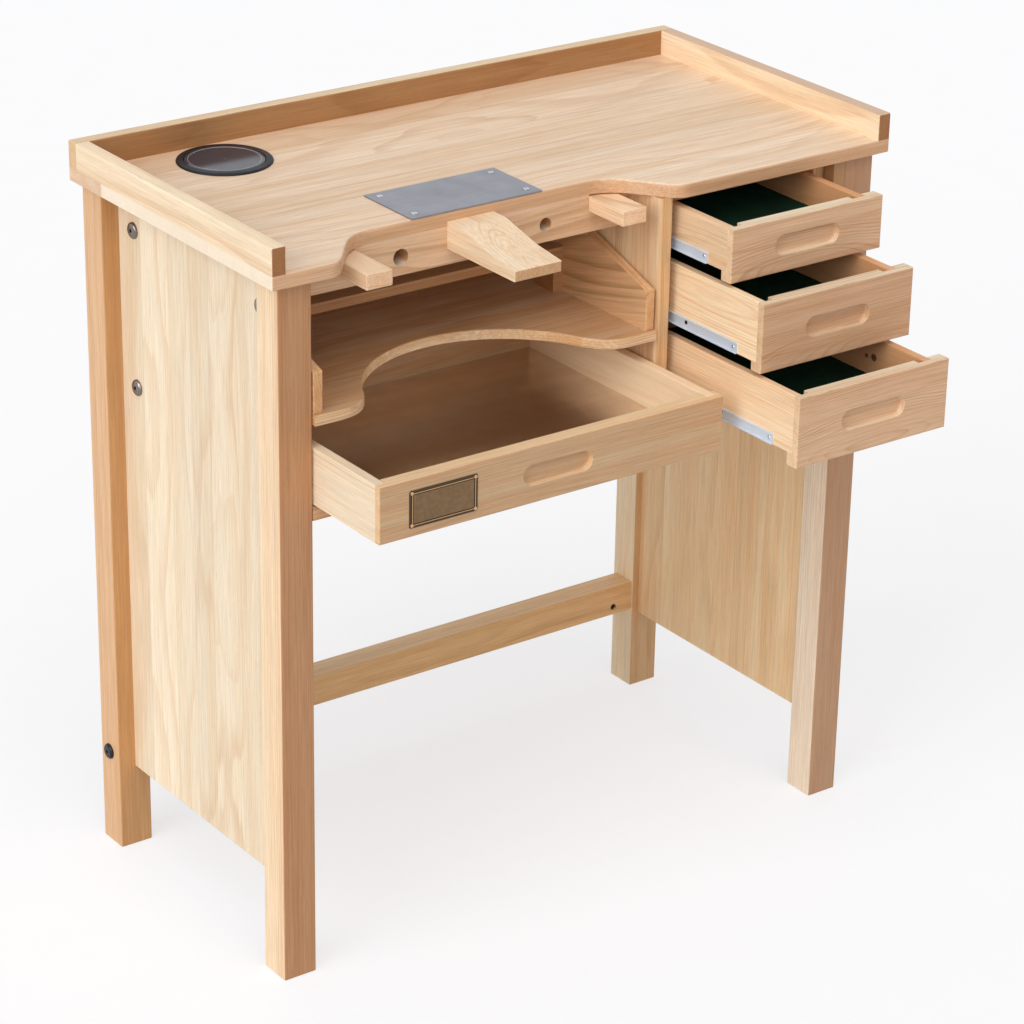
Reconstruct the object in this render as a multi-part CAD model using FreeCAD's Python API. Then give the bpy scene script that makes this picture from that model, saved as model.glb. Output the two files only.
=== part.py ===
import FreeCAD, Part
import math
import os

# A jeweller's workbench in solid hardwood. All sizes are millimetres.
# While it is modelled, X runs to the right from the left edge of the top, Y runs to the rear from the
# front edge of the top, and Z runs up from the floor. The finished pieces are moved so that the origin
# is the middle of the floor area that the bench covers with its drawers standing open as stored.

Vector = FreeCAD.Vector
AXIS_X = Vector(1, 0, 0)
AXIS_Y = Vector(0, 1, 0)
AXIS_Z = Vector(0, 0, 1)

# ---- Top board and its rims
TOP_WIDTH = 1000.0
TOP_DEPTH = 505.0
BOARD_UNDERSIDE = 995.0
BOARD_THICK = 19.0
RIM_THICK = 21.0
RIM_HEIGHT = 37.0
RECESS_DEPTH = 80.0
RECESS_MOUTH = (99.4, 636.6)      # where the slanted sides of the recess would meet the front edge
RECESS_BACK = (165.3, 570.7)      # where they would meet the straight rear edge of the recess
RECESS_INNER_RADIUS = 65.0
RECESS_OUTER_RADIUS = 30.0
BOARD_NOSE_TOP = 3.0
BOARD_NOSE_BOTTOM = 0.5
CORNER_ROUND = 2.5
RIM_ROUND = 2.0

# ---- Frame
LEG_SIDE = 50.0
LEG_INSET = 16.0
FRONT_LEG_Y = 14.0
BACK_LEG_Y = 450.0
LEG_ROUND = 2.5
PANEL_THICK = 13.0
PANEL_INSET = 42.0
PANEL_BOTTOM = 125.0
STRETCHER_Y = (453.0, 493.0)
STRETCHER_Z = (132.0, 180.0)
BACK_PANEL_Y = (452.0, 464.0)
CABINET_BOTTOM = 666.0
RAIL_HEIGHT = 19.0
TOP_RAIL_HEIGHT = 15.5
EASE = 1.5                        # small rounding on worked edges

# ---- Apron under the recess, and the rail behind it that deepens its sockets
APRON_THICK = 21.0
APRON_BOTTOM = 942.0
SOCKET_RAIL_Y = (101.0, 140.0)
MANDREL_HOLE_Z = 967.0
LEFT_MANDREL_X = 244.0
LEFT_MANDREL_RADIUS = 11.5
RIGHT_MANDREL_X = 473.5
RIGHT_MANDREL_RADIUS = 9.4
MANDREL_RELIEF = 1.5              # how much wider the hole is in the rail behind the apron

# ---- Sliding pieces held by the apron
ARMREST_X = {"left": (133.0, 172.5), "right": (544.5, 584.0)}
ARMREST_FRONT_Y = {"left": -8.5, "right": 6.0}
ARMREST_Z = (971.3, 992.8)
ARMREST_LENGTH = 160.0
SOCKET_PLAY = 0.3
PIN_X = (316.3, 389.3)
PIN_UNDERSIDE = 964.5
PIN_ROOT_TOP = 1001.5
PIN_TIP_TOP = 979.0
PIN_TIP_Y = -69.6
PIN_KNEE_Y = 54.0                 # where the flat top of the pin turns down
PIN_BEND_Y = -16.0                # where the steep slope eases off
PIN_STEEP = 0.235                 # fall per length between knee and bend
PIN_KNEE_RADIUS = 60.0
PIN_BEND_RADIUS = 250.0
TENON_WIDTH = 46.0
TENON_Z = (967.2, 989.2)
TENON_END_Y = 138.0

# ---- Drawer cabinet on the right
DIVIDER_X = (613.0, 634.0)
DIVIDER_ROUND = 5.0               # front edge on the knee side
CABINET_WALL_X = (896.5, 916.5)
CABINET_WALL_FRONT = 37.0
STILE_WIDTH = 19.7                # closes the gap between the drawer fronts and the front right leg
FRONT_PLANE = 14.0                # front faces of the legs, the divider and the closed drawers

# ---- Three small drawers on ball-bearing slides
SMALL_DRAWERS = {
    1: {"front_z": (903.0, 978.0), "side_foot": 917.0, "felt_top": 937.0, "open": 111.0},
    2: {"front_z": (799.0, 896.0), "side_foot": 812.0, "felt_top": 836.0, "open": 180.0},
    3: {"front_z": (693.0, 792.0), "side_foot": 711.0, "felt_top": 737.0, "open": 261.0},
}
SMALL_FRONT_X = (646.5, 906.0)
SMALL_BOX_X = (646.5, 884.0)
SMALL_SIDE_THICK = 12.0
SMALL_BOX_BACK = 430.0            # rear of the box when the drawer is closed
FRONT_THICK = 20.0
LIP_THICK = 10.5
CORNER_REBATE = 23.5              # width of the rebate that takes the drawer side
BOTTOM_THICK = 6.0
GROOVE_DEPTH = 5.0
FELT_THICK = 2.0
PULL_LENGTH = 109.0
PULL_HEIGHT = 28.0
PULL_DEPTH = 9.0
PULL_COVE = 4.0
SLIDE_GAP = 12.5
SLIDE_HEIGHT = 15.5
SLIDE_LENGTH = 350.0
SLIDE_FRONT_Y = 63.0              # front ends of both long members when the drawer is closed
SLIDE_WALL = 1.5
SLIDE_RISE = 8.0                  # middle of the slide above the foot of the drawer side
SLIDE_DEPTH = {"cabinet": 8.0, "drawer": 3.5}
CARRIAGE_LENGTH = 88.0            # leaves three quarters of the slide's length as travel
CARRIAGE_TRAVEL = 0.5             # share of the drawer's travel
CARRIAGE_PLAY = 0.3

# ---- Wide catch drawer with its metal sheet
CATCH_X = (68.0, 611.0)
CATCH_BOX_X = (68.0, 607.0)
CATCH_Z = (688.0, 766.0)
CATCH_OPEN = 149.0
CATCH_FRONT_THICK = 22.0
CATCH_LIP = 10.0
CATCH_SIDE_THICK = 15.0
CATCH_BACK = 434.0
CATCH_SHEET_TOP = 707.0
CATCH_SHEET_THICK = 1.5
PLATE_X = (112.0, 216.0)
PLATE_Z = (700.0, 751.0)
PLATE_THICK = 2.0
CATCH_PULL_X = 343.0

# ---- Sliding tray with the round cut-out
TRAY_X = (68.0, 610.0)
TRAY_Y = (9.0, 430.0)
TRAY_Z = (797.0, 812.0)
TRAY_WALL = 14.0
TRAY_WALL_X = (68.0, 609.0)
TRAY_WALL_FRONT = 14.0
TRAY_WALL_KNEE = 201.0            # behind this the top of the side walls is level
TRAY_WALL_TOP = (868.0, 929.0)    # at the front end and behind the knee
BRIDGE_Y = (201.0, 240.0)
BRIDGE_Z = (862.0, 876.0)
BRIDGE_POST = 16.0
TRAY_CUT_CENTRE = (337.0, -33.0)
TRAY_CUT_RADIUS = 190.0
TRAY_LOBE_RADIUS = 60.0

# ---- Runners, cleats and fasteners
RUNNER_HEIGHT = 18.0
TRAY_RUNNER_HEIGHT = 12.0
LEFT_RUNNER_X = (55.0, 85.0)
RIGHT_RUNNER_X = (590.0, 613.0)
CLEAT_THICK = 11.0
CLEAT_WIDTH = 40.0
CLEAT_Z = {"low": (690.0, 783.0), "high": (799.0, 993.0)}
PANEL_BOLTS = {"rear high": (411.0, 944.0), "rear low": (411.0, 720.0),
               "front high": (94.5, 938.0), "front low": (86.5, 720.0)}
BOLT_HEAD_RADIUS = 11.5           # furniture bolts with broad low heads
BOLT_HEAD_HEIGHT = 4.5
BOLT_HEAD_ROUND = 3.8
BOLT_SOCKET_ACROSS = 5.0
BOLT_SOCKET_DEPTH = 2.6
PANEL_BOLT_RADIUS = 3.0
PANEL_BOLT_LENGTH = 22.0
FRAME_BOLT_RADIUS = 4.0
FRAME_BOLT_Y = 477.0
FRAME_BOLT_Z = 145.0
BARREL_NUT_INSET = 35.0           # from the end of the stretcher to the middle of the nut
BARREL_NUT_RADIUS = 5.0
BARREL_NUT_LENGTH = 30.0
BARREL_NUT_SUNK = 3.5
BARREL_SLOT = (1.6, 1.5)          # width and depth of the screwdriver slot
BOLT_PLAY = 0.2

# ---- Steel plate and cable grommet on the top
STEEL_X = (260.0, 467.0)
STEEL_Y = (80.0, 190.0)
STEEL_THICK = 2.0
SCREW_INSET = 15.0
SCREW_HEAD_RADIUS = 4.2
SCREW_RADIUS = 2.0
SCREW_LENGTH = 14.0
SCREW_HEAD_HEIGHT = 1.6
SCREW_SLOT = (1.0, 0.8)           # width and depth
GROMMET_CENTRE = (185.5, 413.0)
GROMMET_RADIUS = 65.5
GROMMET_RISE = 3.0
GROMMET_NECK_RADIUS = 60.0
GROMMET_THROAT_RADIUS = 56.5
GROMMET_LEDGE_RADIUS = 50.0
GROMMET_LEDGE_THICK = 2.0
GROMMET_NECK_END = 2.0            # above the underside of the board
GROMMET_ROUND = 2.7
LID_RADIUS = 54.6
LID_PLAY = 0.6
LID_ROUND = 0.9

# ---- Worked out from the sizes above
BOARD_TOP = BOARD_UNDERSIDE + BOARD_THICK
RIM_TOP = BOARD_TOP + RIM_HEIGHT
APRON_FACE = RECESS_DEPTH
PANEL_X = (PANEL_INSET, PANEL_INSET + PANEL_THICK)
LEFT_LEG_X = (LEG_INSET, LEG_INSET + LEG_SIDE)
BACK_LEG_FRONT = FRONT_LEG_Y + LEG_SIDE
FRONT_REACH = SMALL_DRAWERS[3]["open"] - FRONT_PLANE
TO_PART_FRAME = Vector(-TOP_WIDTH / 2, -(TOP_DEPTH - FRONT_REACH) / 2, 0)
TOLERANCE = 0.05


# ================================================================ Helpers

def block(x, y, z):
    """A box between two X, two Y and two Z values."""
    return Part.makeBox(x[1] - x[0], y[1] - y[0], z[1] - z[0], Vector(x[0], y[0], z[0]))


def rod(radius, length, start, direction):
    """A cylinder of this radius and length that starts at a point and runs along a direction."""
    return Part.makeCylinder(radius, length, Vector(*start), direction)


def mirrored(x):
    """The span on the right of the bench that mirrors a span on the left."""
    return (TOP_WIDTH - x[1], TOP_WIDTH - x[0])


def within(limit, low, high):
    """True where low..high lies at a stated value or inside a stated range."""
    if limit is None:
        return True
    first, last = limit if isinstance(limit, tuple) else (limit, limit)
    return low >= first - TOLERANCE and high <= last + TOLERANCE


def edges_at(shape, x=None, y=None, z=None):
    """The edges of a shape that lie at the stated X, Y and Z, each a value or a range."""
    picked = []
    for edge in shape.Edges:
        box = edge.BoundBox
        if (within(x, box.XMin, box.XMax) and within(y, box.YMin, box.YMax)
                and within(z, box.ZMin, box.ZMax)):
            picked.append(edge)
    return picked


def upright_edges(shape):
    """The edges that run straight up."""
    picked = []
    for edge in shape.Edges:
        box = edge.BoundBox
        if box.XLength < TOLERANCE and box.YLength < TOLERANCE:
            picked.append(edge)
    return picked


def rounded_path(corners, radii):
    """Lines through the corners of an open path, each corner turned by a tangent arc of its radius."""
    edges = []
    start = Vector(*corners[0])
    for before, corner, after, radius in zip(corners, corners[1:], corners[2:], radii):
        point = Vector(*corner)
        back = (Vector(*before) - point).normalize()
        ahead = (Vector(*after) - point).normalize()
        half_angle = back.getAngle(ahead) / 2
        reach = radius / math.tan(half_angle)
        middle = (back + ahead).normalize()
        centre = point + middle * (radius / math.sin(half_angle))
        arc_start = point + back * reach
        arc_end = point + ahead * reach
        if start.distanceToPoint(arc_start) > TOLERANCE:
            edges.append(Part.LineSegment(start, arc_start).toShape())
        edges.append(Part.Arc(arc_start, centre - middle * radius, arc_end).toShape())
        start = arc_end
    edges.append(Part.LineSegment(start, Vector(*corners[-1])).toShape())
    return edges


def extruded(edges, direction):
    """The solid swept by a closed outline that is moved along a direction."""
    return Part.Face(Part.Wire(Part.__sortEdges__(edges))).extrude(direction)


def polygon_prism(points, direction):
    """The solid swept by a polygon that is moved along a direction."""
    corners = [Vector(*point) for point in points]
    return Part.Face(Part.makePolygon(corners + corners[:1])).extrude(direction)


def group(solids):
    """Separate solids that share one node."""
    return Part.makeCompound(solids)


# ================================================================ Top

def board_blank():
    """The top board between the rims' outer ends, with square edges and the recess cut in its front."""
    front = 0.0
    recess_path = [(RIM_THICK, front, BOARD_UNDERSIDE),
                   (RECESS_MOUTH[0], front, BOARD_UNDERSIDE),
                   (RECESS_BACK[0], RECESS_DEPTH, BOARD_UNDERSIDE),
                   (RECESS_BACK[1], RECESS_DEPTH, BOARD_UNDERSIDE),
                   (RECESS_MOUTH[1], front, BOARD_UNDERSIDE),
                   (TOP_WIDTH - RIM_THICK, front, BOARD_UNDERSIDE)]
    radii = (RECESS_OUTER_RADIUS, RECESS_INNER_RADIUS, RECESS_INNER_RADIUS, RECESS_OUTER_RADIUS)
    outline = rounded_path(recess_path, radii)
    rear = [(TOP_WIDTH - RIM_THICK, TOP_DEPTH, BOARD_UNDERSIDE), (RIM_THICK, TOP_DEPTH, BOARD_UNDERSIDE)]
    corners = [Vector(*recess_path[-1])] + [Vector(*point) for point in rear] + [Vector(*recess_path[0])]
    outline += [Part.LineSegment(a, b).toShape() for a, b in zip(corners, corners[1:])]
    return extruded(outline, AXIS_Z * BOARD_THICK)


def board_end(x, outer_x):
    """The end of the board that carries a side rim, square on top and eased below."""
    end = block(x, (0.0, TOP_DEPTH), (BOARD_UNDERSIDE, BOARD_TOP))
    end = end.makeFillet(CORNER_ROUND, edges_at(upright_only(end), x=outer_x))
    return end.makeFillet(EASE, edges_at(end, x=outer_x, z=BOARD_UNDERSIDE))


def upright_only(shape):
    """A compound of the upright edges of a shape."""
    return Part.makeCompound(upright_edges(shape))


def table_top():
    """One glued board with a nosed front edge, the recess and the holes for grommet and screws."""
    board = board_blank()
    front = (0.0, RECESS_DEPTH)
    board = board.makeFillet(BOARD_NOSE_TOP, edges_at(board, y=front, z=BOARD_TOP))
    board = board.makeFillet(BOARD_NOSE_BOTTOM, edges_at(board, y=front, z=BOARD_UNDERSIDE))
    left_end = (0.0, RIM_THICK)
    board = board.fuse([board_end(left_end, 0.0), board_end(mirrored(left_end), TOP_WIDTH)])
    board = board.removeSplitter()
    hole = (GROMMET_CENTRE[0], GROMMET_CENTRE[1], BOARD_UNDERSIDE)
    board = board.cut(rod(GROMMET_NECK_RADIUS, BOARD_THICK, hole, AXIS_Z))
    for x, y in screw_places():
        board = board.cut(rod(SCREW_RADIUS + BOLT_PLAY, SCREW_LENGTH, (x, y, BOARD_TOP), -AXIS_Z))
    return board


def rim_side(x, outer_x, inner_x):
    """A side rim: a strip on edge on the board, butted against the rear rim."""
    rim = block(x, (0.0, TOP_DEPTH - RIM_THICK), (BOARD_TOP, RIM_TOP))
    rim = rim.makeFillet(CORNER_ROUND, edges_at(upright_only(rim), y=0.0))
    top_edges = edges_at(rim, y=(0.0, TOP_DEPTH - RIM_THICK - RIM_ROUND), z=RIM_TOP)
    top_edges += edges_at(rim, x=outer_x, z=RIM_TOP) + edges_at(rim, x=inner_x, z=RIM_TOP)
    return rim.makeFillet(RIM_ROUND, top_edges)


def rim_back():
    """The rear rim, over the full width of the board."""
    rim = block((0.0, TOP_WIDTH), (TOP_DEPTH - RIM_THICK, TOP_DEPTH), (BOARD_TOP, RIM_TOP))
    rim = rim.makeFillet(CORNER_ROUND, edges_at(upright_only(rim), y=TOP_DEPTH))
    return rim.makeFillet(RIM_ROUND, edges_at(rim, z=RIM_TOP))


def screw_places():
    """Middles of the four plate screws."""
    return [(x, y)
            for x in (STEEL_X[0] + SCREW_INSET, STEEL_X[1] - SCREW_INSET)
            for y in (STEEL_Y[0] + SCREW_INSET, STEEL_Y[1] - SCREW_INSET)]


def steel_plate():
    """The flat steel plate let on to the top behind the recess."""
    plate = block(STEEL_X, STEEL_Y, (BOARD_TOP, BOARD_TOP + STEEL_THICK))
    for x, y in screw_places():
        plate = plate.cut(rod(SCREW_RADIUS + BOLT_PLAY, STEEL_THICK, (x, y, BOARD_TOP), AXIS_Z))
        seat = (x, y, BOARD_TOP + STEEL_THICK / 2)
        plate = plate.cut(rod(SCREW_HEAD_RADIUS + BOLT_PLAY, STEEL_THICK, seat, AXIS_Z))
    return plate


def plate_screws():
    """Four cheese-head wood screws, their heads sunk half into the plate."""
    seat_z = BOARD_TOP + STEEL_THICK / 2
    head_top = seat_z + SCREW_HEAD_HEIGHT
    slot_width, slot_depth = SCREW_SLOT
    screws = []
    for x, y in screw_places():
        head = rod(SCREW_HEAD_RADIUS, SCREW_HEAD_HEIGHT, (x, y, seat_z), AXIS_Z)
        slot = block((x - slot_width / 2, x + slot_width / 2),
                     (y - SCREW_HEAD_RADIUS, y + SCREW_HEAD_RADIUS), (head_top - slot_depth, head_top))
        shank = rod(SCREW_RADIUS, SCREW_LENGTH, (x, y, seat_z), -AXIS_Z)
        screws.append(head.cut(slot).fuse(shank).removeSplitter())
    return group(screws)


def turned(profile, centre):
    """A ring turned about an upright axis from a closed (radius, height) profile."""
    points = [Vector(centre[0] + radius, centre[1], height) for radius, height in profile]
    face = Part.Face(Part.makePolygon(points + points[:1]))
    return face.revolve(Vector(centre[0], centre[1], 0), AXIS_Z, 360)


def grommet_ring():
    """The flanged ring in the top: a raised rim, a neck in the hole and a ledge for the lid."""
    ledge_under = BOARD_TOP - GROMMET_LEDGE_THICK
    top = BOARD_TOP + GROMMET_RISE
    neck_end = BOARD_UNDERSIDE + GROMMET_NECK_END
    inside = LID_RADIUS + LID_PLAY
    ring = turned([(GROMMET_LEDGE_RADIUS, ledge_under), (GROMMET_THROAT_RADIUS, ledge_under),
                   (GROMMET_THROAT_RADIUS, neck_end), (GROMMET_NECK_RADIUS, neck_end),
                   (GROMMET_NECK_RADIUS, BOARD_TOP), (GROMMET_RADIUS, BOARD_TOP),
                   (GROMMET_RADIUS, top), (inside, top), (inside, BOARD_TOP),
                   (GROMMET_LEDGE_RADIUS, BOARD_TOP)], GROMMET_CENTRE)
    outer = [edge for edge in edges_at(ring, z=top) if edge.BoundBox.XLength > 2 * inside + TOLERANCE]
    return ring.makeFillet(GROMMET_ROUND, outer)


def grommet_lid():
    """The loose round lid that lies in the ring."""
    lid = rod(LID_RADIUS, GROMMET_RISE, (GROMMET_CENTRE[0], GROMMET_CENTRE[1], BOARD_TOP), AXIS_Z)
    return lid.makeFillet(LID_ROUND, edges_at(lid, z=BOARD_TOP + GROMMET_RISE))


def make_top():
    """The top board with everything fixed on it."""
    left = (0.0, RIM_THICK)
    right = mirrored(left)
    return {"table_top": table_top(), "rim_back": rim_back(),
            "rim_left": rim_side(left, left[0], left[1]),
            "rim_right": rim_side(right, right[1], right[0]),
            "steel_plate": steel_plate(), "plate_screws": plate_screws(),
            "grommet_ring": grommet_ring(), "grommet_lid": grommet_lid()}


# ================================================================ Frame

def leg(x, front_y):
    """A square leg with eased corners and an eased foot."""
    post = block(x, (front_y, front_y + LEG_SIDE), (0.0, BOARD_UNDERSIDE))
    post = post.makeFillet(LEG_ROUND, upright_edges(post))
    return post.makeFillet(EASE, edges_at(post, z=0.0))


def button_bolt(radius, length, start, direction):
    """A button-head bolt with a hexagon socket; start is the middle of the seat under its head."""
    rise = direction * -BOLT_HEAD_HEIGHT
    seat = Vector(*start)
    head = rod(BOLT_HEAD_RADIUS, BOLT_HEAD_HEIGHT, start, -direction)
    crown = [edge for edge in head.Edges
             if edge.Length > BOLT_HEAD_RADIUS and edge.CenterOfMass.isEqual(seat + rise, TOLERANCE)]
    head = head.makeFillet(BOLT_HEAD_ROUND, crown)
    corner_radius = BOLT_SOCKET_ACROSS / math.sqrt(3)
    corners = []
    for corner in range(6):
        angle = math.tau / 6 * corner
        corners.append((start[0] - direction.x * BOLT_HEAD_HEIGHT,
                        start[1] + corner_radius * math.cos(angle),
                        start[2] + corner_radius * math.sin(angle)))
    socket = polygon_prism(corners, direction * BOLT_SOCKET_DEPTH)
    shank = rod(radius, length, start, direction)
    return head.cut(socket).fuse(shank).removeSplitter()


def bolt_places():
    """Seat and inward direction of every panel bolt, left and right."""
    for y, z in PANEL_BOLTS.values():
        yield (PANEL_X[0], y, z), AXIS_X
        yield (TOP_WIDTH - PANEL_X[0], y, z), -AXIS_X


def bolt_holes(shape):
    """The shape with the clearance holes of the panel bolts drilled in it."""
    for start, direction in bolt_places():
        shape = shape.cut(rod(PANEL_BOLT_RADIUS + BOLT_PLAY, PANEL_BOLT_LENGTH, start, direction))
    return shape


def frame_bolt_places():
    """Seat and inward direction of the bolt through each rear leg into the stretcher."""
    yield (LEFT_LEG_X[0], FRAME_BOLT_Y, FRAME_BOLT_Z), AXIS_X
    yield (TOP_WIDTH - LEFT_LEG_X[0], FRAME_BOLT_Y, FRAME_BOLT_Z), -AXIS_X


def frame_bolt_holes(shape):
    """The shape with the bores of the two frame bolts drilled in it."""
    length = LEG_SIDE + BARREL_NUT_INSET + BARREL_NUT_LENGTH / 2
    for start, direction in frame_bolt_places():
        shape = shape.cut(rod(FRAME_BOLT_RADIUS + BOLT_PLAY, length, start, direction))
    return shape


def side_panel(x):
    """A side panel between the legs, its lower edge eased."""
    panel = block(x, (BACK_LEG_FRONT, BACK_LEG_Y), (PANEL_BOTTOM, BOARD_UNDERSIDE))
    panel = panel.makeFillet(EASE, edges_at(panel, x=x[0], z=PANEL_BOTTOM)
                             + edges_at(panel, x=x[1], z=PANEL_BOTTOM))
    return bolt_holes(panel)


def barrel_nut_places():
    """Middle of each barrel nut's front end."""
    inset = LEFT_LEG_X[1] + BARREL_NUT_INSET
    return [(x, STRETCHER_Y[0], FRAME_BOLT_Z) for x in (inset, TOP_WIDTH - inset)]


def rear_stretcher():
    """The rail between the rear legs, with cross holes for the barrel nuts."""
    rail = block((LEFT_LEG_X[1], TOP_WIDTH - LEFT_LEG_X[1]), STRETCHER_Y, STRETCHER_Z)
    long_edges = [edge for edge in rail.Edges if edge.BoundBox.XLength > LEG_SIDE]
    rail = rail.makeFillet(EASE, long_edges)
    for place in barrel_nut_places():
        rail = rail.cut(rod(BARREL_NUT_RADIUS + BOLT_PLAY, BARREL_NUT_LENGTH, place, AXIS_Y))
    return frame_bolt_holes(rail)


def barrel_nuts():
    """Two cross dowels, sunk below the face of the stretcher, each with a screwdriver slot."""
    slot_width, slot_depth = BARREL_SLOT
    nuts = []
    for x, y, z in barrel_nut_places():
        face = y + BARREL_NUT_SUNK
        nut = rod(BARREL_NUT_RADIUS, BARREL_NUT_LENGTH - BARREL_NUT_SUNK, (x, face, z), AXIS_Y)
        slot = block((x - BARREL_NUT_RADIUS, x + BARREL_NUT_RADIUS), (face, face + slot_depth),
                     (z - slot_width / 2, z + slot_width / 2))
        nuts.append(frame_bolt_holes(nut.cut(slot)))
    return group(nuts)


def make_frame():
    """Legs, side panels, rear panel, stretcher and the bolts that hold them."""
    right_leg_x = mirrored(LEFT_LEG_X)
    bolt_length = LEG_SIDE + BARREL_NUT_INSET + BARREL_NUT_RADIUS
    frame_bolts = [button_bolt(FRAME_BOLT_RADIUS, bolt_length, start, direction)
                   for start, direction in frame_bolt_places()]
    panel_bolts = [button_bolt(PANEL_BOLT_RADIUS, PANEL_BOLT_LENGTH, start, direction)
                   for start, direction in bolt_places()]
    back_panel = block((LEFT_LEG_X[1], TOP_WIDTH - LEFT_LEG_X[1]), BACK_PANEL_Y,
                       (CABINET_BOTTOM, BOARD_UNDERSIDE))
    return {"leg_front_left": leg(LEFT_LEG_X, FRONT_LEG_Y),
            "leg_front_right": leg(right_leg_x, FRONT_LEG_Y),
            "leg_back_left": frame_bolt_holes(leg(LEFT_LEG_X, BACK_LEG_Y)),
            "leg_back_right": frame_bolt_holes(leg(right_leg_x, BACK_LEG_Y)),
            "side_panel_left": side_panel(PANEL_X),
            "side_panel_right": side_panel(mirrored(PANEL_X)),
            "back_panel": back_panel, "rear_stretcher": rear_stretcher(),
            "stretcher_bolts": group(frame_bolts), "barrel_nuts": barrel_nuts(),
            "panel_bolts": group(panel_bolts)}


# ================================================================ Apron, sockets and what slides in them

def armrest_blank(side, play):
    """The bar of an armrest, or its socket with some play at both sides and open to the board above."""
    x = ARMREST_X[side]
    front = ARMREST_FRONT_Y[side]
    top = ARMREST_Z[1] if play == 0 else BOARD_UNDERSIDE
    return block((x[0] - play, x[1] + play), (front, front + ARMREST_LENGTH), (ARMREST_Z[0], top))


def armrest(side):
    """A square bar that pulls out of the apron to rest a forearm on."""
    bar = armrest_blank(side, 0.0)
    return bar.makeFillet(EASE, bar.Edges)


def tenon(play):
    """The tongue of the bench pin, or its mortise with some play at the sides and above."""
    middle = (PIN_X[0] + PIN_X[1]) / 2
    half = TENON_WIDTH / 2 + play
    return block((middle - half, middle + half), (APRON_FACE, TENON_END_Y),
                 (TENON_Z[0], TENON_Z[1] + play))


def sockets(shape):
    """The shape with the mortise and both armrest sockets cut through it."""
    shape = shape.cut(tenon(SOCKET_PLAY))
    for side in ARMREST_X:
        shape = shape.cut(armrest_blank(side, SOCKET_PLAY))
    return shape


def mandrel_holes(shape, front_y, length, relief):
    """The shape with both mandrel holes drilled in it, wider by the relief."""
    for x, radius in ((LEFT_MANDREL_X, LEFT_MANDREL_RADIUS), (RIGHT_MANDREL_X, RIGHT_MANDREL_RADIUS)):
        shape = shape.cut(rod(radius + relief, length, (x, front_y, MANDREL_HOLE_Z), AXIS_Y))
    return shape


def apron():
    """The board under the recess that holds the pin, the armrests and the ring mandrels."""
    y = (APRON_FACE, APRON_FACE + APRON_THICK)
    board = block((PANEL_X[1], DIVIDER_X[0]), y, (APRON_BOTTOM, BOARD_UNDERSIDE))
    board = board.makeFillet(EASE, edges_at(board, y=APRON_FACE, z=APRON_BOTTOM))
    return mandrel_holes(sockets(board), APRON_FACE, APRON_THICK, 0.0)


def socket_rail():
    """The thicker rail behind the apron that carries the ends of the pin and the armrests."""
    rail = block((PANEL_X[1], DIVIDER_X[0]), SOCKET_RAIL_Y, (APRON_BOTTOM, BOARD_UNDERSIDE))
    length = SOCKET_RAIL_Y[1] - SOCKET_RAIL_Y[0]
    return mandrel_holes(sockets(rail), SOCKET_RAIL_Y[0], length, MANDREL_RELIEF)


def pin_profile():
    """The side view of the bench pin: flat root, a steep slope, then an easier one to the tip."""
    x = PIN_X[0]
    bend_z = PIN_ROOT_TOP - (PIN_KNEE_Y - PIN_BEND_Y) * PIN_STEEP
    top_line = [(x, APRON_FACE, PIN_ROOT_TOP), (x, PIN_KNEE_Y, PIN_ROOT_TOP),
                (x, PIN_BEND_Y, bend_z), (x, PIN_TIP_Y, PIN_TIP_TOP)]
    edges = rounded_path(top_line, (PIN_KNEE_RADIUS, PIN_BEND_RADIUS))
    corners = [Vector(x, PIN_TIP_Y, PIN_TIP_TOP), Vector(x, PIN_TIP_Y, PIN_UNDERSIDE),
               Vector(x, APRON_FACE, PIN_UNDERSIDE), Vector(x, APRON_FACE, PIN_ROOT_TOP)]
    return edges + [Part.LineSegment(a, b).toShape() for a, b in zip(corners, corners[1:])]


def bench_pin():
    """The wedge that the work is held against, with the tongue that plugs into the apron."""
    body = extruded(pin_profile(), AXIS_X * (PIN_X[1] - PIN_X[0]))
    tip_edges = edges_at(body, y=PIN_TIP_Y)
    body = body.makeFillet(EASE, tip_edges)
    return body.fuse(tenon(0.0)).removeSplitter()


def make_apron():
    """Apron, the rail behind it, the pin and both armrests."""
    return {"apron": apron(), "socket_rail": socket_rail(), "bench_pin": bench_pin(),
            "armrest_left": armrest("left"), "armrest_right": armrest("right")}


# ================================================================ Cabinet and runners

def divider():
    """The upright board between the knee side and the drawer cabinet."""
    board = block(DIVIDER_X, (FRONT_PLANE, BACK_PANEL_Y[0]), (CABINET_BOTTOM, BOARD_UNDERSIDE))
    board = board.makeFillet(DIVIDER_ROUND, edges_at(upright_only(board), x=DIVIDER_X[0], y=FRONT_PLANE))
    return board.makeFillet(EASE, edges_at(upright_only(board), x=DIVIDER_X[1], y=FRONT_PLANE))


def cabinet_floor():
    """The board under the drawers, notched round the front right leg."""
    z = (CABINET_BOTTOM, CABINET_BOTTOM + RAIL_HEIGHT)
    leg_face = TOP_WIDTH - LEFT_LEG_X[1]
    front = block((DIVIDER_X[1], leg_face), (FRONT_PLANE, BACK_LEG_FRONT), z)
    rear = block((DIVIDER_X[1], TOP_WIDTH - PANEL_X[1]), (BACK_LEG_FRONT, BACK_LEG_Y), z)
    return front.fuse(rear).removeSplitter()


def cleat_spans():
    """Y span and Z span of the cleat behind each panel bolt, by the bolt's name."""
    spans = {}
    for name, (y, z) in PANEL_BOLTS.items():
        height = "high" if name.endswith("high") else "low"
        spans[name] = ((y - CLEAT_WIDTH / 2, y + CLEAT_WIDTH / 2), CLEAT_Z[height])
    return spans


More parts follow.
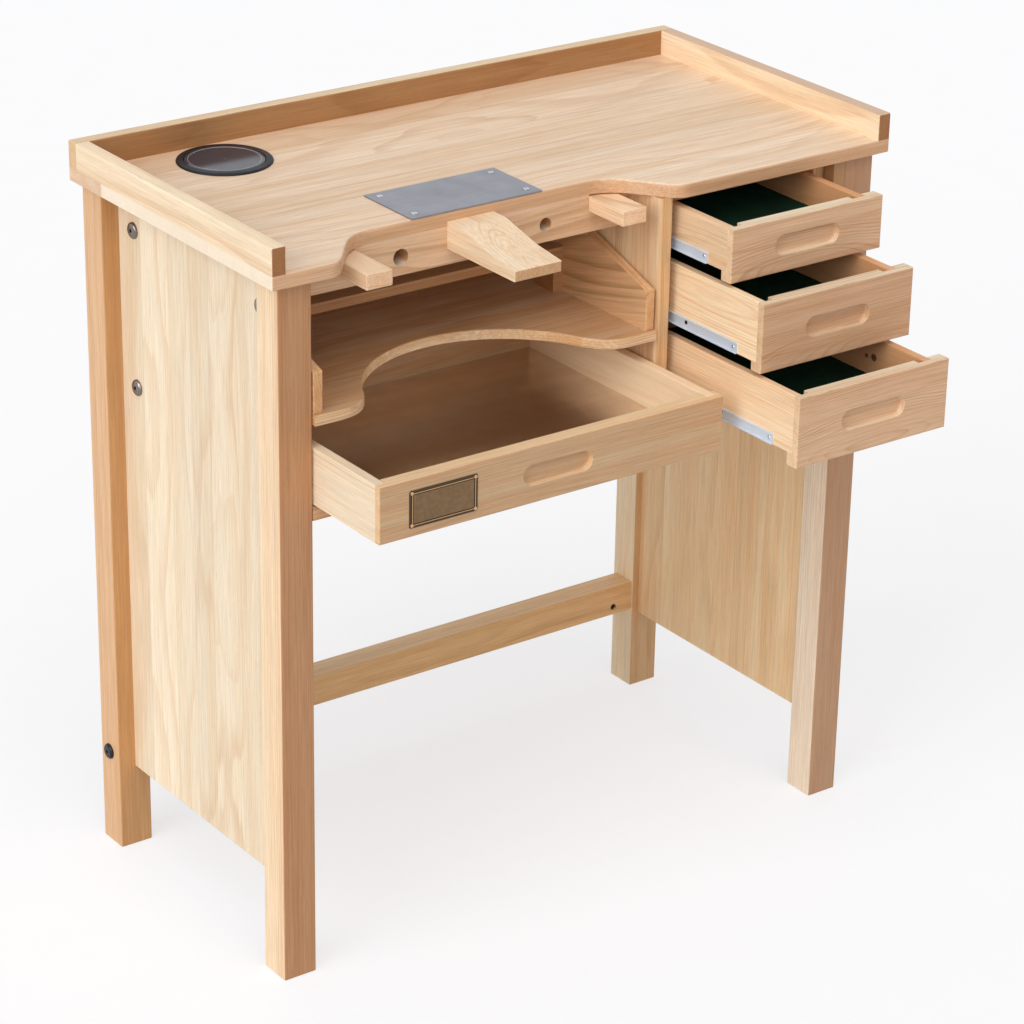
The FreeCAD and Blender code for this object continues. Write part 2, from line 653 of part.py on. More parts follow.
def panel_cleats():
    """Upright cleats inside the left panel; the front upper one ends below the apron."""
    x = (PANEL_X[1], PANEL_X[1] + CLEAT_THICK)
    spans = cleat_spans()
    y, z = spans["front high"]
    spans["front high"] = (y, (z[0], APRON_BOTTOM))
    return group([bolt_holes(block(x, *span)) for span in spans.values()])


def wall_spacers():
    """Spacers between the cabinet's right wall and the right panel, and the stile beside the leg."""
    x = (CABINET_WALL_X[1], TOP_WIDTH - PANEL_X[1])
    leg_face = TOP_WIDTH - LEFT_LEG_X[1]
    stile = block((leg_face - STILE_WIDTH, leg_face), (FRONT_PLANE, FRONT_PLANE + FRONT_THICK),
                  (CABINET_BOTTOM + RAIL_HEIGHT, BOARD_UNDERSIDE))
    return group([stile] + [bolt_holes(block(x, *span)) for span in cleat_spans().values()])


def runner_pair(top, height):
    """A left and a right wooden runner with their tops at one height."""
    z = (top - height, top)
    left = block(LEFT_RUNNER_X, (BACK_LEG_FRONT, BACK_LEG_Y), z)
    right = block(RIGHT_RUNNER_X, (FRONT_PLANE + FRONT_THICK, BACK_PANEL_Y[0]), z)
    return [left, right]


def make_cabinet():
    """Divider, cabinet boards, rails, runners, cleats and the fixed slide members."""
    rail_y = (FRONT_PLANE, FRONT_PLANE + FRONT_THICK)
    top_rail_x = (DIVIDER_X[1], TOP_WIDTH - LEFT_LEG_X[1])
    top_rail_y = (rail_y[1], rail_y[1] + FRONT_THICK)
    top_rail = block(top_rail_x, top_rail_y, (BOARD_UNDERSIDE - TOP_RAIL_HEIGHT, BOARD_UNDERSIDE))
    wall = block(CABINET_WALL_X, (CABINET_WALL_FRONT, BACK_PANEL_Y[0]),
                 (CABINET_BOTTOM + RAIL_HEIGHT, BOARD_UNDERSIDE)).cut(top_rail)
    front_rail = block((LEFT_LEG_X[1], DIVIDER_X[0]), rail_y, (CABINET_BOTTOM, CABINET_BOTTOM + RAIL_HEIGHT))
    fixed = []
    for drawer in SMALL_DRAWERS.values():
        fixed += long_members("cabinet", drawer, 0.0)
    return {"divider": divider(), "cabinet_wall": wall, "cabinet_floor": cabinet_floor(),
            "top_rail": top_rail, "front_rail": front_rail,
            "runners": group(runner_pair(CATCH_Z[0], RUNNER_HEIGHT)
                             + runner_pair(TRAY_Z[0], TRAY_RUNNER_HEIGHT)),
            "panel_cleats": panel_cleats(), "wall_spacers": wall_spacers(),
            "slide_cabinet_members": group(fixed)}


# ================================================================ Slides

def channel(web_x, reach, y, middle_z):
    """A C channel on edge: its web stands at web_x and its flanges reach away from it along X."""
    half = SLIDE_HEIGHT / 2
    wall = math.copysign(SLIDE_WALL, reach)
    body = block(sorted((web_x, web_x + reach)), y, (middle_z - half, middle_z + half))
    hollow_x = sorted((web_x + wall, web_x + wall + reach))
    inner_half = half - SLIDE_WALL
    return body.cut(block(hollow_x, y, (middle_z - inner_half, middle_z + inner_half)))


def carriage(x, y, middle_z):
    """The short carriage: an I section that runs inside both channels."""
    half = SLIDE_HEIGHT / 2 - SLIDE_WALL - CARRIAGE_PLAY
    bar = block(x, y, (middle_z - half, middle_z + half))
    groove_depth = (x[1] - x[0]) / 2 - SLIDE_WALL / 2
    groove_z = (middle_z - half + 2 * SLIDE_WALL, middle_z + half - 2 * SLIDE_WALL)
    left_groove = block((x[0], x[0] + groove_depth), y, groove_z)
    right_groove = block((x[1] - groove_depth, x[1]), y, groove_z)
    return bar.cut(left_groove).cut(right_groove)


def slide_walls():
    """X of the cabinet face behind each slide, and the direction from it towards the drawer."""
    return ((DIVIDER_X[1], 1), (CABINET_WALL_X[0], -1))


def long_members(part, drawer, travel):
    """The left and right channel of a small drawer on the cabinet or on the drawer."""
    middle_z = drawer["side_foot"] + SLIDE_RISE
    y = (SLIDE_FRONT_Y - travel, SLIDE_FRONT_Y - travel + SLIDE_LENGTH)
    depth = SLIDE_DEPTH[part]
    members = []
    for face, inward in slide_walls():
        if part == "cabinet":
            members.append(channel(face, depth * inward, y, middle_z))
        else:
            members.append(channel(face + SLIDE_GAP * inward, -depth * inward, y, middle_z))
    return members


def carriages(drawer):
    """The left and right carriage, midway between the two long members of each slide."""
    middle_z = drawer["side_foot"] + SLIDE_RISE
    middle_y = SLIDE_FRONT_Y + SLIDE_LENGTH / 2 - CARRIAGE_TRAVEL * drawer["open"]
    y = (middle_y - CARRIAGE_LENGTH / 2, middle_y + CARRIAGE_LENGTH / 2)
    inset = SLIDE_WALL + CARRIAGE_PLAY
    return [carriage(sorted((face + inset * inward, face + (SLIDE_GAP - inset) * inward)), y, middle_z)
            for face, inward in slide_walls()]


# ================================================================ Drawers

def finger_pull(front, middle_x, middle_z, face_y):
    """The front with a round-ended pocket for the fingers, its floor coved and its rim eased."""
    radius = PULL_HEIGHT / 2
    reach = PULL_LENGTH / 2 - radius
    pocket = block((middle_x - reach, middle_x + reach), (face_y, face_y + PULL_DEPTH),
                   (middle_z - radius, middle_z + radius))
    for x in (middle_x - reach, middle_x + reach):
        pocket = pocket.fuse(rod(radius, PULL_DEPTH, (x, face_y, middle_z), AXIS_Y))
    pocket = pocket.removeSplitter()
    pocket = pocket.makeFillet(PULL_COVE, edges_at(pocket, y=face_y + PULL_DEPTH))
    front = front.cut(pocket)
    span_x = (middle_x - reach - radius, middle_x + reach + radius)
    rim = edges_at(front, x=span_x, y=face_y, z=(middle_z - radius, middle_z + radius))
    return front.makeFillet(EASE, rim)


def drawer_front(x, z, face_y, thick, pull_x):
    """A drawer front with eased face edges and a finger pull."""
    board = block(x, (face_y, face_y + thick), z)
    board = board.makeFillet(EASE, edges_at(board, y=face_y))
    return finger_pull(board, pull_x, (z[0] + z[1]) / 2, face_y)


def rounded_wall(x, y, z):
    """A drawer wall whose long upper edges are eased."""
    wall = block(x, y, z)
    long_span = max(x[1] - x[0], y[1] - y[0])
    edges = [edge for edge in edges_at(wall, z=z[1]) if edge.Length > long_span - TOLERANCE]
    return wall.makeFillet(EASE, edges)


def small_drawer(number):
    """The nodes of one small drawer, standing open as stored."""
    drawer = SMALL_DRAWERS[number]
    face = FRONT_PLANE - drawer["open"]
    foot = drawer["side_foot"]
    top = drawer["front_z"][1]
    lip_back = face + LIP_THICK
    block_back = face + FRONT_THICK
    box_back = SMALL_BOX_BACK - drawer["open"]
    inner_x = (SMALL_BOX_X[0] + SMALL_SIDE_THICK, SMALL_BOX_X[1] - SMALL_SIDE_THICK)

    front = drawer_front(SMALL_FRONT_X, drawer["front_z"], face, FRONT_THICK, sum(SMALL_FRONT_X) / 2)
    left_rebate = (SMALL_BOX_X[0], SMALL_BOX_X[0] + CORNER_REBATE)
    right_rebate = (SMALL_BOX_X[1] - CORNER_REBATE, SMALL_BOX_X[1])
    for rebate in (left_rebate, right_rebate):
        front = front.cut(block(rebate, (lip_back, block_back), (foot, top)))

    bottom_z = (drawer["felt_top"] - FELT_THICK - BOTTOM_THICK, drawer["felt_top"] - FELT_THICK)
    groove_x = (inner_x[0] - GROOVE_DEPTH, inner_x[1] + GROOVE_DEPTH)
    inner_back = box_back - SMALL_SIDE_THICK
    bottom = block(groove_x, (lip_back, inner_back + GROOVE_DEPTH), bottom_z).cut(front)
    felt_z = (bottom_z[1], drawer["felt_top"])
    liner = block(inner_x, (lip_back, inner_back), felt_z).cut(front)

    walls = [rounded_wall((SMALL_BOX_X[0], inner_x[0]), (lip_back, box_back), (foot, top)),
             rounded_wall((inner_x[1], SMALL_BOX_X[1]), (lip_back, box_back), (foot, top)),
             rounded_wall(inner_x, (inner_back, box_back), (foot, top))]
    name = "drawer_%d_" % number
    return {name + "front": front,
            name + "walls": group([wall.cut(bottom) for wall in walls]),
            name + "bottom": bottom, name + "liner": liner,
            name + "slide_members": group(long_members("drawer", drawer, drawer["open"])),
            name + "slide_carriages": group(carriages(drawer))}


def catch_drawer():
    """The nodes of the wide drawer that catches filings, standing open as stored."""
    face = FRONT_PLANE - CATCH_OPEN
    lip_back = face + CATCH_LIP
    block_back = face + CATCH_FRONT_THICK
    box_back = CATCH_BACK - CATCH_OPEN
    inner_back = box_back - CATCH_SIDE_THICK
    inner_x = (CATCH_BOX_X[0] + CATCH_SIDE_THICK, CATCH_BOX_X[1] - CATCH_SIDE_THICK)

    front = drawer_front(CATCH_X, CATCH_Z, face, CATCH_FRONT_THICK, CATCH_PULL_X)
    for rebate in ((CATCH_BOX_X[0], inner_x[0]), (inner_x[1], CATCH_BOX_X[1])):
        front = front.cut(block(rebate, (lip_back, block_back), CATCH_Z))

    sheet_z = (CATCH_SHEET_TOP - CATCH_SHEET_THICK, CATCH_SHEET_TOP)
    bottom_z = (sheet_z[0] - BOTTOM_THICK, sheet_z[0])
    groove_x = (inner_x[0] - GROOVE_DEPTH, inner_x[1] + GROOVE_DEPTH)
    groove_y = (block_back - GROOVE_DEPTH, inner_back + GROOVE_DEPTH)
    bottom = block(groove_x, groove_y, bottom_z)
    sides = [rounded_wall((CATCH_BOX_X[0], inner_x[0]), (lip_back, box_back), CATCH_Z),
             rounded_wall((inner_x[1], CATCH_BOX_X[1]), (lip_back, box_back), CATCH_Z)]
    back = rounded_wall(inner_x, (inner_back, box_back), CATCH_Z)
    plate = block(PLATE_X, (face - PLATE_THICK, face), PLATE_Z)
    return {"catch_drawer_front": front.cut(bottom),
            "catch_drawer_sides": group([side.cut(bottom) for side in sides]),
            "catch_drawer_back": back.cut(bottom),
            "catch_drawer_bottom": bottom,
            "catch_drawer_sheet": block(inner_x, (block_back, inner_back), sheet_z),
            "name_plate": plate}


# ================================================================ Tray

def tray_floor():
    """The tray's board with the round cut-out for the body between two rounded lobes."""
    z = TRAY_Z[0]
    front = TRAY_Y[0]
    centre = Vector(TRAY_CUT_CENTRE[0], TRAY_CUT_CENTRE[1], z)
    lobe_y = front + TRAY_LOBE_RADIUS
    reach = TRAY_CUT_RADIUS + TRAY_LOBE_RADIUS
    lobe_dx = math.sqrt(reach ** 2 - (lobe_y - centre.y) ** 2)
    edges = []
    tangents = []
    for side in (-1, 1):
        lobe = Vector(centre.x + side * lobe_dx, lobe_y, z)
        on_front = Vector(lobe.x, front, z)
        to_cut = (centre - lobe).normalize()
        on_cut = lobe + to_cut * TRAY_LOBE_RADIUS
        halfway = (to_cut + Vector(0, -1, 0)).normalize()
        corner = Vector(TRAY_X[0] if side < 0 else TRAY_X[1], front, z)
        edges.append(Part.Arc(on_front, lobe + halfway * TRAY_LOBE_RADIUS, on_cut).toShape())
        edges.append(Part.LineSegment(corner, on_front).toShape())
        tangents.append(on_cut)
    top_of_cut = centre + AXIS_Y * TRAY_CUT_RADIUS
    edges.append(Part.Arc(tangents[0], top_of_cut, tangents[1]).toShape())
    corners = [Vector(TRAY_X[1], front, z), Vector(TRAY_X[1], TRAY_Y[1], z),
               Vector(TRAY_X[0], TRAY_Y[1], z), Vector(TRAY_X[0], front, z)]
    edges += [Part.LineSegment(a, b).toShape() for a, b in zip(corners, corners[1:])]
    board = extruded(edges, AXIS_Z * (TRAY_Z[1] - z))
    cut_back = (front, centre.y + TRAY_CUT_RADIUS)
    board = board.makeFillet(EASE, edges_at(board, y=cut_back, z=TRAY_Z[1]))
    return board.makeFillet(EASE, edges_at(board, y=cut_back, z=TRAY_Z[0]))


def tray_side(x):
    """A side wall of the tray: low at the front, rising in a straight slant to its full height."""
    low, high = TRAY_WALL_TOP
    profile = [(x[0], TRAY_WALL_FRONT, TRAY_Z[1]), (x[0], TRAY_WALL_FRONT, low),
               (x[0], TRAY_WALL_KNEE, high), (x[0], TRAY_Y[1], high), (x[0], TRAY_Y[1], TRAY_Z[1])]
    wall = polygon_prism(profile, AXIS_X * (x[1] - x[0]))
    return wall.makeFillet(EASE, edges_at(wall, y=TRAY_WALL_FRONT))


def tray_bridge(x):
    """The flat rail across the tray that parts its front from its rear, on a post at each end."""
    rail = block(x, BRIDGE_Y, BRIDGE_Z)
    posts = [block(span, BRIDGE_Y, (TRAY_Z[1], BRIDGE_Z[0]))
             for span in ((x[0], x[0] + BRIDGE_POST), (x[1] - BRIDGE_POST, x[1]))]
    return group([rail] + posts)


def make_tray():
    """The sliding tray: its floor, its two sides and the bridge between them."""
    left = (TRAY_WALL_X[0], TRAY_WALL_X[0] + TRAY_WALL)
    right = (TRAY_WALL_X[1] - TRAY_WALL, TRAY_WALL_X[1])
    return {"tray_floor": tray_floor(),
            "tray_walls": group([tray_side(left), tray_side(right)]),
            "tray_bridge": tray_bridge((left[1], right[0]))}


# ================================================================ Write the pieces

nodes = {}
for make in (make_top, make_frame, make_apron, make_cabinet, catch_drawer, make_tray):
    nodes.update(make())
for drawer_number in SMALL_DRAWERS:
    nodes.update(small_drawer(drawer_number))

os.makedirs("parts", exist_ok=True)
for node_name, node_shape in nodes.items():
    node_shape.translate(TO_PART_FRAME)
    node_shape.exportStep("parts/" + node_name + ".step")
    print(node_name, len(node_shape.Solids), "solids,", round(node_shape.Volume / 1000.0, 1), "cm3,",
          "valid" if node_shape.isValid() else "NOT VALID")
print(len(nodes), "nodes")
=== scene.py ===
# %% [markdown]
# # A jeweller's bench in pale hardwood
# This script dresses a finished CAD model. The boards, legs, drawers and slides come from the CAD file as
# they are, and each gets a finish here. Small fittings that want more shape than the CAD gives them, which
# are the cable grommet, the name plate and the slides' screws, are made as new pieces.
# Everything is in metres, with +X to the right of the person at the bench, +Y to the rear and +Z up.

import bpy
import numpy as np
from mathutils import Matrix, Vector


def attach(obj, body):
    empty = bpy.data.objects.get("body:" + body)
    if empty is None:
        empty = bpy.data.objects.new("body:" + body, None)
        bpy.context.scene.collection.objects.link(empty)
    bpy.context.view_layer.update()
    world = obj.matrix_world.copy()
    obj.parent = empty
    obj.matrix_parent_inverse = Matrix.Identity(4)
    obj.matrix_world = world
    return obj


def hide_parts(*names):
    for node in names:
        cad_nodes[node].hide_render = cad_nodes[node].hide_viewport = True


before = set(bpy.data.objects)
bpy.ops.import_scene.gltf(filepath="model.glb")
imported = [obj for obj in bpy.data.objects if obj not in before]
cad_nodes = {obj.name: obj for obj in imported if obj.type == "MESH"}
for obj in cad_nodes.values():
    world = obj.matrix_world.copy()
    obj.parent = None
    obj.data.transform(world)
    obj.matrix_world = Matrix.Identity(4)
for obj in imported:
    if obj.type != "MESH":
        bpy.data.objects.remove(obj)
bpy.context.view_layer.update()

# %% [markdown]
# ## Helpers for colour and for nodes
# Colours are written as sRGB hex values, the way a paint chart gives them. The renderer works in linear
# values, which nobody can read by eye, so one function turns the first into the second. One more function
# adds a shader node. Its properties are set by name, and its inputs take either a value or a link, so a
# row of nodes reads like a formula.

# %% Colour and node helpers
MM = 0.001


def linear(hex_colour):
    """sRGB hex to linear: c / 12.92 below 0.04045, and ((c + 0.055) / 1.055) ** 2.4 above it."""
    shares = [value / 255 for value in bytes.fromhex(hex_colour.lstrip("#"))]
    return tuple(c / 12.92 if c <= 0.04045 else ((c + 0.055) / 1.055) ** 2.4 for c in shares) + (1.0,)


def add(tree, kind, *values, inputs=None, **settings):
    """Adds a node: settings are properties, values go to the inputs in order, and a socket is linked."""
    node = tree.nodes.new(kind)
    for name, value in settings.items():
        setattr(node, name, value)
    for key, value in [*enumerate(values), *(inputs or {}).items()]:
        if isinstance(value, bpy.types.NodeSocket):
            tree.links.new(value, node.inputs[key])
        else:
            node.inputs[key].default_value = value
    return node


MATHS = "ShaderNodeMath"
VECTOR_MATHS = "ShaderNodeVectorMath"
NOISE = "ShaderNodeTexNoise"
REMAP = "ShaderNodeMapRange"
SPLIT = "ShaderNodeSeparateXYZ"
MIX = "ShaderNodeMix"
MIX_A, MIX_B, MIX_COLOUR = 6, 7, 2      # a Mix node's colour sockets


def new_material(name):
    """An empty node material: the material, its tree and its output's surface socket."""
    material = bpy.data.materials.new(name)
    material.use_nodes = True
    tree = material.node_tree
    tree.nodes.clear()
    return material, tree, add(tree, "ShaderNodeOutputMaterial").inputs["Surface"]


print("the tan #D9B48A is", [round(v, 3) for v in linear("#D9B48A")[:3]], "in linear values")

# %% [markdown]
# ## The camera
# The bench is seen from its left front corner and from above, with a long lens, so that upright edges stay
# almost parallel. A camera could be aimed at a target, but that leaves its roll to chance. Here its three
# axes are worked out from the direction it looks in and a slight roll.

# %% Camera
HEADING = 0.6315                  # radians from +Y toward +X
DIP = 0.4222                      # radians below level
ROLL = 0.0183
CAMERA_PLACE = (-2.6145179, -3.5246351, 2.4984754)
LENS = 122.495                    # millimetres
SENSOR = 36.0                     # millimetres wide
FARTHEST_SEEN = 200.0             # metres

forward = np.array([np.sin(HEADING) * np.cos(DIP), np.cos(HEADING) * np.cos(DIP), -np.sin(DIP)])
level = np.cross(forward, (0, 0, 1))
level /= np.linalg.norm(level)
upward = np.cross(level, forward)
right = np.cos(ROLL) * level + np.sin(ROLL) * upward
above = -np.sin(ROLL) * level + np.cos(ROLL) * upward
camera = bpy.data.objects.new("camera", bpy.data.cameras.new("camera"))
camera.data.lens = LENS
camera.data.sensor_width = SENSOR
camera.data.clip_end = FARTHEST_SEEN
turn = Matrix([right, above, -forward]).transposed().to_4x4()
camera.matrix_world = Matrix.Translation(CAMERA_PLACE) @ turn
bpy.context.scene.collection.objects.link(camera)
bpy.context.scene.camera = camera
bpy.context.scene.view_settings.view_transform = "Standard"
print("the camera looks", round(np.degrees(DIP), 1), "degrees down")

# %% [markdown]
# ## How far a point lies from the heart of the tree
# A tree grows in rings round its heart, so the figure of a board is a slice through nested tubes. A picture
# of boards could be laid over each piece, but it would smear on rounded edges and on end grain. A solid
# pattern is right on every cut, so the first step is the distance from a heart line that runs along the
# board. A board cut close to the heart shows arched cathedrals, and one cut far from it straight lines.

# %% The heart line
HEARTS_APART = 700.0              # millimetres that the pattern shifts from one glued board to the next
HEART_SPREAD, HEART_START = 1.4, -0.2   # the heart lies from -0.2 to 1.2 widths from the board's edge
LEAST_DEPTH = 0.5                 # the heart lies 0.5 to 1.5 depths below the face
WANDER_SIZE = (400.0, 45.0)       # length and width of the heart's wandering in millimetres
WAVE_SIZE = 90.0                  # millimetres along the board for one radian of the heart's slow wave


def heart_distance(tree, given, place, spot, dice):
    """The length of (across, through). Across = y - start - width * (spread * dice + its start) and through
    = z + depth * (dice + least depth) + lean * (a slow sine along the board). A noise moves both."""
    length, width = WANDER_SIZE
    stretch = (1 / length, 1 / width, 1 / width)
    bend = add(tree, VECTOR_MATHS, spot, stretch, operation="MULTIPLY").outputs[0]
    bend = add(tree, NOISE, inputs={"Vector": bend, "Scale": 1.0, "Detail": 2.0}).outputs["Color"]
    bend = add(tree, VECTOR_MATHS, bend, (0.5, 0.5, 0.5), operation="SUBTRACT").outputs[0]
    bend = add(tree, VECTOR_MATHS, bend, inputs={"Scale": given["Wander"]}, operation="SCALE").outputs[0]
    bend = add(tree, SPLIT, bend).outputs

    part = add(tree, MATHS, dice["Y"], HEART_SPREAD, HEART_START, operation="MULTIPLY_ADD").outputs[0]
    part = add(tree, MATHS, part, given["Width"], given["Start"], operation="MULTIPLY_ADD").outputs[0]
    part = add(tree, MATHS, place["Y"], part, operation="SUBTRACT").outputs[0]
    across = add(tree, MATHS, part, bend["X"], operation="ADD").outputs[0]

    run = add(tree, MATHS, dice["X"], HEARTS_APART, place["X"], operation="MULTIPLY_ADD").outputs[0]
    run = add(tree, MATHS, run, WAVE_SIZE, operation="DIVIDE").outputs[0]
    wave = add(tree, MATHS, run, operation="SINE").outputs[0]
    wave = add(tree, MATHS, wave, WAVE_SIZE, operation="MULTIPLY").outputs[0]
    drop = add(tree, MATHS, dice["Z"], LEAST_DEPTH, operation="ADD").outputs[0]
    drop = add(tree, MATHS, drop, given["Depth"], place["Z"], operation="MULTIPLY_ADD").outputs[0]
    drop = add(tree, MATHS, wave, given["Lean"], drop, operation="MULTIPLY_ADD").outputs[0]
    through = add(tree, MATHS, drop, bend["Y"], operation="ADD").outputs[0]
    radius = add(tree, "ShaderNodeCombineXYZ", across, through, 0.0).outputs[0]
    return add(tree, VECTOR_MATHS, radius, operation="LENGTH").outputs["Value"]


print("the heart wanders once in about", WANDER_SIZE[0], "mm")

# %% [markdown]
# ## Rings of good and poor years
# Wood of spring is pale, and it darkens slowly until the growth stops at once in autumn. A plain sine wave
# would look printed, so each ring rises slowly and ends sharply, and a noise along the radius makes some
# years wide and strong and others faint.

# %% Year rings
YEARS_PER_MM = 0.06               # a run of good years lasts about 1 / 0.06 = 17 mm of growth
YEARS_SHIFT = 3.0                 # how many rings the good years push the count on by
YEARS_RANGE = (0.38, 0.62)        # the noise of a poor year and of a good one
FAINTEST_RING = 0.10
RING_START, RING_PEAK = 0.45, 0.93      # shares of the season at which the ring starts and is darkest


def year_rings(tree, radius, spacing):
    """Season = fract(radius / spacing + shift * years). The ring rises from its start to its peak, falls
    back by the season's end, and is multiplied by the year's strength."""
    years = add(tree, MATHS, radius, YEARS_PER_MM, operation="MULTIPLY").outputs[0]
    years = add(tree, NOISE, inputs={"W": years, "Scale": 1.0, "Detail": 2.0},
                noise_dimensions="1D").outputs[0]
    count = add(tree, MATHS, radius, spacing, operation="DIVIDE").outputs[0]
    season = add(tree, MATHS, years, YEARS_SHIFT, count, operation="MULTIPLY_ADD").outputs[0]
    season = add(tree, MATHS, season, operation="FRACT").outputs[0]
    rise = add(tree, REMAP, season, RING_START, RING_PEAK, 0.0, 1.0,
               interpolation_type="SMOOTHSTEP").outputs[0]
    fall = add(tree, REMAP, season, RING_PEAK, 1.0, 1.0, 0.0, interpolation_type="SMOOTHSTEP").outputs[0]
    strength = add(tree, REMAP, years, *YEARS_RANGE, FAINTEST_RING, 1.0).outputs[0]
    ring = add(tree, MATHS, rise, fall, operation="MULTIPLY").outputs[0]
    return add(tree, MATHS, ring, strength, operation="MULTIPLY").outputs[0]


print("a ring takes up", round(1 - RING_START, 2), "of its season")

# %% [markdown]
# ## The whole figure as one group
# Over the rings lie broad bands of tone, narrow streaks, fine fibres and short dark pores, which all run
# with the grain. They could be painted as lines, but real ones fade in and out, so they are noise drawn
# out along the board. All of it goes into one node group, so every finish shares one recipe.

# %% The group that works out the figure
BAND_SIZE = (800.0, 24.0)         # length and width of broad bands of tone in millimetres
STREAK_SIZE = (420.0, 4.5)        # the same of the narrow streaks
FIBRE_SIZE = (70.0, 2.0)          # drawn three times as coarse as the real fibre, so that it shows
PORE_SIZE = (14.0, 1.1)           # rubberwood's pores are long dark dashes
BAND_SHARE = 1.6                  # how much the bands count for beside the streaks
STREAK_REACH = 0.4                # from the middle of both together to the palest and the darkest streak
FIBRE_RANGE = (0.25, 0.75)
PORE_RANGE = (0.60, 0.74)         # only the peaks of the noise are pores
SEED_STEP = 17.3                  # keeps the boards of two finishes from getting the same dice


def grain_noise(tree, spot, size):
    """Noise of the place divided by (length, width, width)."""
    length, width = size
    spot = add(tree, VECTOR_MATHS, spot, (1 / length, 1 / width, 1 / width), operation="MULTIPLY").outputs[0]
    return add(tree, NOISE, inputs={"Vector": spot, "Scale": 1.0, "Detail": 3.0,
                                    "Roughness": 0.6}).outputs[0]


def timber_group():
    """Rings, streaks, fibres and pores from 0 to 1, and a die for each board's tone. The place is in
    millimetres with x along the grain."""
    tree = bpy.data.node_groups.new("timber_figure", "ShaderNodeTree")
    tree.interface.new_socket("Place", in_out="INPUT", socket_type="NodeSocketVector")
    for name in ("Board", "Start", "Width", "Spacing", "Depth", "Lean", "Wander", "Seed"):
        tree.interface.new_socket(name, in_out="INPUT", socket_type="NodeSocketFloat")
    for name in ("Ring", "Streak", "Fibre", "Pore", "Luck"):
        tree.interface.new_socket(name, in_out="OUTPUT", socket_type="NodeSocketFloat")
    given = add(tree, "NodeGroupInput").outputs
    place = add(tree, SPLIT, given["Place"]).outputs

    # each board gets three dice of its own, which shift the pattern and place its heart
    number = add(tree, MATHS, given["Seed"], SEED_STEP, given["Board"], operation="MULTIPLY_ADD").outputs[0]
    luck = add(tree, "ShaderNodeTexWhiteNoise", inputs={"W": number}, noise_dimensions="1D").outputs
    dice = add(tree, SPLIT, luck["Color"]).outputs
    shift = add(tree, VECTOR_MATHS, luck["Color"], (HEARTS_APART,) * 3, operation="MULTIPLY").outputs[0]
    spot = add(tree, VECTOR_MATHS, given["Place"], shift, operation="ADD").outputs[0]

    ring = year_rings(tree, heart_distance(tree, given, place, spot, dice), given["Spacing"])
    band, streak, fibre, pore = (grain_noise(tree, spot, size)
                                 for size in (BAND_SIZE, STREAK_SIZE, FIBRE_SIZE, PORE_SIZE))
    streak = add(tree, MATHS, band, BAND_SHARE, streak, operation="MULTIPLY_ADD").outputs[0]
    middle = (BAND_SHARE + 1) / 2
    streak = add(tree, REMAP, streak, middle - STREAK_REACH, middle + STREAK_REACH, 0.0, 1.0).outputs[0]
    fibre = add(tree, REMAP, fibre, *FIBRE_RANGE, 0.0, 1.0).outputs[0]
    pore = add(tree, REMAP, pore, *PORE_RANGE, 0.0, 1.0).outputs[0]
    add(tree, "NodeGroupOutput", ring, streak, fibre, pore, luck["Value"])
    return tree


timber_figure = timber_group()
print("the timber group has", len(timber_figure.nodes), "nodes")

# %% [markdown]
# ## Boards side by side
# Wide panels are glued up from narrow boards, because a wide board would cup. Each board could be an object
# of its own, but a glue joint is too thin to see as a gap. So a list of joints, in millimetres across the
# panel, says where one board ends and the next starts, and the group gives each board its own heart.

# %% Glue joints and the ways a board can lie
GRAIN = {                         # rows: along the grain, across the boards, through the boards
    "x flat": ((1, 0, 0), (0, 1, 0), (0, 0, 1)),
    "x upright": ((1, 0, 0), (0, 0, 1), (0, -1, 0)),
    "y flat": ((0, 1, 0), (-1, 0, 0), (0, 0, 1)),
    "y upright": ((0, 1, 0), (0, 0, 1), (1, 0, 0)),
    "z seen from the side": ((0, 0, 1), (0, 1, 0), (-1, 0, 0)),
    "z seen from the front": ((0, 0, 1), (1, 0, 0), (0, 1, 0)),
}
SEAM = 0.5                        # width of a glue line in millimetres, drawn twice as wide as it is


def glued_boards(tree, over, joints):
    """Board = the number of joints behind the point, start = the last of them, and seam = 1 on a line."""
    board, start, seam = 0.0, joints[0], 0.0
    for before, joint in zip(joints, joints[1:]):
        past = add(tree, MATHS, over, joint, operation="GREATER_THAN").outputs[0]
        board = add(tree, MATHS, board, past, operation="ADD").outputs[0]
        start = add(tree, MATHS, past, joint - before, start, operation="MULTIPLY_ADD").outputs[0]
        line = add(tree, MATHS, over, joint, SEAM / 2, operation="COMPARE").outputs[0]
        seam = add(tree, MATHS, seam, line, operation="MAXIMUM").outputs[0]
    return board, start, seam


print(len(GRAIN), "ways for a board to lie")

# %% [markdown]
# ## The colour of bare wood
# Rubberwood runs from cream to tan, with darker late wood and brown pores. One picked colour with noise on
# it looks like paint. Here the streaks choose between two tones, the rings bring in a third, and the dark
# pores and glue lines come last, as they do in the wood.

# %% From figure to colour
LUCK_SHARE = 0.5                  # how far a board's luck moves it between the pale tone and the tan
MIDDLE_TONE = 0.75                # streak + luck share of an average spot
TONE_REACH = 0.65                 # from there to the pale and the tan, at a contrast of one
PORE_BROWN = "#8A5A36"
PORE_SHARE = 0.24
SEAM_SHARE = 0.30
MEAN_SHADE = 0.98                 # fibres take a little light away


